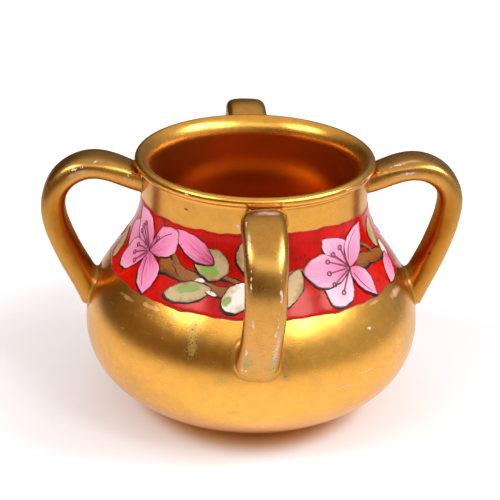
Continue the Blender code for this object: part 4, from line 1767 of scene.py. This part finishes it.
class CUP_OT_twigs(bpy.types.Operator):
    """Paints the twigs that join the blossoms"""

    bl_idname = "cup.twigs"
    bl_label = "Painted Twigs"

    def execute(self, context):
        paint = settings().paint
        twigs, lines = [], []
        for panel in make_panels():
            for twig in TWIGS:
                centre = twig.points[0]
                corners = [tuple(panel.flat(centre, place)) for place in twig.points]
                path = bezier(*corners, TWIG_POINTS)
                share = np.linspace(0.0, 1.0, TWIG_POINTS)
                knots = 1 + 0.12 * np.sin(14 * share + centre[0]) + 0.06 * np.sin(31 * share)
                half = MM / 2 * (twig.start_width + (twig.end_width - twig.start_width) * share) * knots
                half[[0, -1]] = 0.0
                low = paint.band_thickness
                twigs.append(stroke(panel, centre, path, half, low, TWIG_RELIEF))
                side = square_to(np.gradient(path, axis=0))
                for way in (-1, 1):
                    edge = path + way * side * half[:, None]
                    pressing = 0.75 + 0.6 * np.sin(11 * share + way + centre[0])
                    width = tapered(TWIG_POINTS, paint.line_width) * pressing * (2.0 if way < 0 else 1.0)
                    lines.append(stroke(panel, centre, edge, width, low + 0.01 * MM, TWIG_RELIEF))
        make_piece("twigs", twigs, twig_enamel("brown_twig_enamel"))
        ink = line_enamel("dark_twig_line_enamel", settings().colours.line)
        make_piece("twig_lines", lines, ink)
        return {"FINISHED"}


# Stage

Softbox = namedtuple("Softbox", "name azimuth elevation wide tall distance share")

# Lights round the cup: degrees of azimuth, elevation, width and height, metres away and share of the
# set brightness
LEFT_BOX = Softbox("softbox_left", -66.0, 44.0, 30.0, 17.0, 1.2, 1.0)
RIGHT_BOXES = (
    Softbox("softbox_between", 0.0, 42.0, 46.0, 17.0, 1.2, 0.1),
    Softbox("softbox_right_front", 41.0, 43.5, 15.0, 19.0, 1.2, 0.85),
    Softbox("softbox_right_side", 74.0, 43.5, 22.0, 19.0, 1.2, 1.2),
)
FILL_BOXES = (
    Softbox("fill_right", 88.0, 28.0, 44.0, 26.0, 1.5, 0.9),
    Softbox("fill_left", -62.0, 34.0, 44.0, 26.0, 1.5, 2.3),
    Softbox("fill_back_left", 220.0, 19.0, 44.0, 24.0, 1.5, 0.8),
    Softbox("fill_back_right", 130.0, 19.0, 44.0, 24.0, 1.5, 0.8),
)
LIGHT_AIM = 40 * MM

# Half width of the floor, the radii between which the gilding's glow fades and those between which
# the white that the gilding mirrors fades
FLOOR_REACH = 3.0
GLOW_FULL = 25 * MM
GLOW_FADED = 36 * MM
MIRRORED_WHITE = 0.05
MIRRORED_DARK = 0.42

# Sides of the round board that only reflections show, and how far it lies over the floor
BOARD_SIDES = 64
BOARD_LIFT = 0.1 * MM


def aimed(place, target):
    """The matrix of a light or camera at a place that looks at a target."""
    place = Vector(place)
    turn = (Vector(target) - place).to_track_quat("-Z", "Y")
    return Matrix.Translation(place) @ turn.to_matrix().to_4x4()


def add_softbox(box, brightness, in_reflections=True):
    """A rectangular area light that fills a box's angles, seen from the cup, with an even brightness."""
    azimuth, elevation = math.radians(box.azimuth), math.radians(box.elevation)
    data = bpy.data.lights.new(box.name, "AREA")
    data.shape = "RECTANGLE"
    data.size = 2 * box.distance * math.tan(math.radians(box.wide / 2))
    data.size_y = 2 * box.distance * math.tan(math.radians(box.tall / 2))
    data.energy = box.share * brightness * math.pi * data.size * data.size_y
    light = bpy.data.objects.new(box.name, data)
    level = box.distance * math.cos(elevation)
    height = LIGHT_AIM + box.distance * math.sin(elevation)
    light.matrix_world = aimed(
        (level * math.sin(azimuth), -level * math.cos(azimuth), height), (0.0, 0.0, LIGHT_AIM)
    )
    light.visible_glossy = in_reflections
    bpy.context.scene.collection.objects.link(light)


def add_camera(stage):
    """The camera on its swing, elevation and roll about the point that it looks at."""
    swing, lift, roll = stage.camera_swing, stage.camera_elevation, stage.camera_roll
    back = Vector((-math.sin(swing) * math.cos(lift), -math.cos(swing) * math.cos(lift), math.sin(lift)))
    right = Vector((math.cos(swing), -math.sin(swing), 0.0))
    up = back.cross(right)
    place = -stage.aim_left * right + Vector((0.0, 0.0, stage.aim_height)) + stage.camera_distance * back
    across = math.cos(roll) * right + math.sin(roll) * up
    upright = math.cos(roll) * up - math.sin(roll) * right
    data = bpy.data.cameras.new("photo_camera")
    data.lens = stage.lens
    data.sensor_width = 36.0
    data.clip_start = 0.01
    camera = bpy.data.objects.new("photo_camera", data)
    turn = Matrix((across, upright, back)).transposed()
    camera.matrix_world = Matrix.Translation(place) @ turn.to_4x4()
    bpy.context.scene.collection.objects.link(camera)
    bpy.context.scene.camera = camera


def add_floor(name, corners, material):
    """A flat floor of one face."""
    mesh = bpy.data.meshes.new(name)
    mesh.from_pydata(corners.tolist(), [], [range(len(corners))])
    mesh.materials.append(material)
    floor = bpy.data.objects.new(name, mesh)
    bpy.context.scene.collection.objects.link(floor)
    return floor


def studio_room(stage):
    """The room: bright overhead, dim at the height of the cup, lighter on the right than on the left."""
    world = bpy.data.worlds.new("studio_room")
    world.use_nodes = True
    tree = world.node_tree
    tree.nodes.clear()
    way = add(tree, "TexCoord").outputs["Generated"]
    parts = add(tree, "SeparateXYZ", [way]).outputs
    side = add(tree, "MapRange", [parts["X"], -0.5, 0.8], **SMOOTH)
    walls = add(tree, "Mix", {0: side, 6: stage.dark_side, 7: stage.light_side}, **IN_COLOUR)
    behind = add(tree, "MapRange", [parts["Y"], 0.1, 0.9, 1.0, stage.behind], **SMOOTH)
    shaded = add(tree, "VectorMath", {0: walls, "Scale": behind}, operation="SCALE")
    overhead = add(tree, "MapRange", [parts["Z"], 0.3, 0.85], **SMOOTH)
    light = add(tree, "Mix", {0: overhead, 6: shaded, 7: stage.zenith}, **IN_COLOUR)
    room = add(tree, "Background", {"Color": light})
    backdrop = add(tree, "Background", {"Color": stage.floor_colour})
    seen = add(tree, "LightPath").outputs["Is Camera Ray"]
    shown = add(tree, "MixShader", [seen, room, backdrop])
    add(tree, "OutputWorld", {"Surface": shown})
    return world


class CUP_OT_stage(bpy.types.Operator):
    """Sets the floor, the lights, the room and the camera"""

    bl_idname = "cup.stage"
    bl_label = "Stage"

    def execute(self, context):
        stage = settings().stage
        add_camera(stage)
        add_softbox(LEFT_BOX, stage.left_light)
        for box in RIGHT_BOXES:
            add_softbox(box, stage.right_light)
        for box in FILL_BOXES:
            add_softbox(box, stage.fill, in_reflections=False)
        reach = FLOOR_REACH * np.array([(-1, -1, 0), (1, -1, 0), (1, 1, 0), (-1, 1, 0)])
        floor = add_floor("floor", reach, pale_floor("matt_white_board", stage.floor_colour))
        floor.visible_glossy = False
        rim = MIRRORED_DARK * circle(around(BOARD_SIDES))
        round_board = np.hstack([rim, np.full((BOARD_SIDES, 1), BOARD_LIFT)])
        mirrored = add_floor(
            "floor_in_reflections", round_board, pale_floor("board_edge_in_shade", stage.dark_side)
        )
        for way in ("camera", "diffuse", "transmission", "volume_scatter", "shadow"):
            setattr(mirrored, f"visible_{way}", False)
        context.scene.world = studio_room(stage)
        context.scene.view_settings.view_transform = "Standard"
        return {"FINISHED"}


# Add-on


class CupSettings(bpy.types.PropertyGroup):
    """All the cup's settings."""

    cup: PointerProperty(type=CupSizes, name="Cup", description="The turned body")
    handle: PointerProperty(type=HandleSizes, name="Handle", description="The strap handles")
    paint: PointerProperty(type=PaintSizes, name="Paint", description="The enamel band")
    colours: PointerProperty(type=CupColours, name="Colours", description="Gilding and enamels")
    stage: PointerProperty(type=StageSettings, name="Stage", description="Camera, floor and lights")


OPERATORS = (
    CUP_OT_stage,
    CUP_OT_body,
    CUP_OT_handles,
    CUP_OT_slip,
    CUP_OT_band,
    CUP_OT_twigs,
    CUP_OT_leaves,
    CUP_OT_blossoms,
)


class CUP_PT_panel(bpy.types.Panel):
    """Lists the cup's pieces and settings"""

    bl_label = "Gilt Cup"
    bl_idname = "CUP_PT_panel"
    bl_space_type = "VIEW_3D"
    bl_region_type = "UI"
    bl_category = "Cup"

    def draw(self, context):
        for operator in OPERATORS:
            self.layout.operator(operator.bl_idname)
        for group in ("cup", "handle", "paint", "colours", "stage"):
            box = self.layout.box()
            box.label(text=group.capitalize())
            values = getattr(context.scene.cup, group)
            for key in values.bl_rna.properties.keys():
                if key not in ("rna_type", "name"):
                    box.prop(values, key)


CLASSES = (
    CupSizes,
    HandleSizes,
    PaintSizes,
    CupColours,
    StageSettings,
    CupSettings,
    *OPERATORS,
    CUP_PT_panel,
)


def register():
    """Registers the classes and puts the settings on the scene."""
    for item in CLASSES:
        bpy.utils.register_class(item)
    bpy.types.Scene.cup = PointerProperty(type=CupSettings)


def unregister():
    """Takes the settings and the classes away again."""
    del bpy.types.Scene.cup
    for item in reversed(CLASSES):
        bpy.utils.unregister_class(item)


def main():
    """Registers the add-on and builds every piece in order."""
    register()
    bpy.ops.cup.stage()
    bpy.ops.cup.body()
    bpy.ops.cup.handles()
    bpy.ops.cup.slip()
    bpy.ops.cup.band()
    bpy.ops.cup.twigs()
    bpy.ops.cup.leaves()
    bpy.ops.cup.blossoms()


if __name__ == "__main__":
    main()
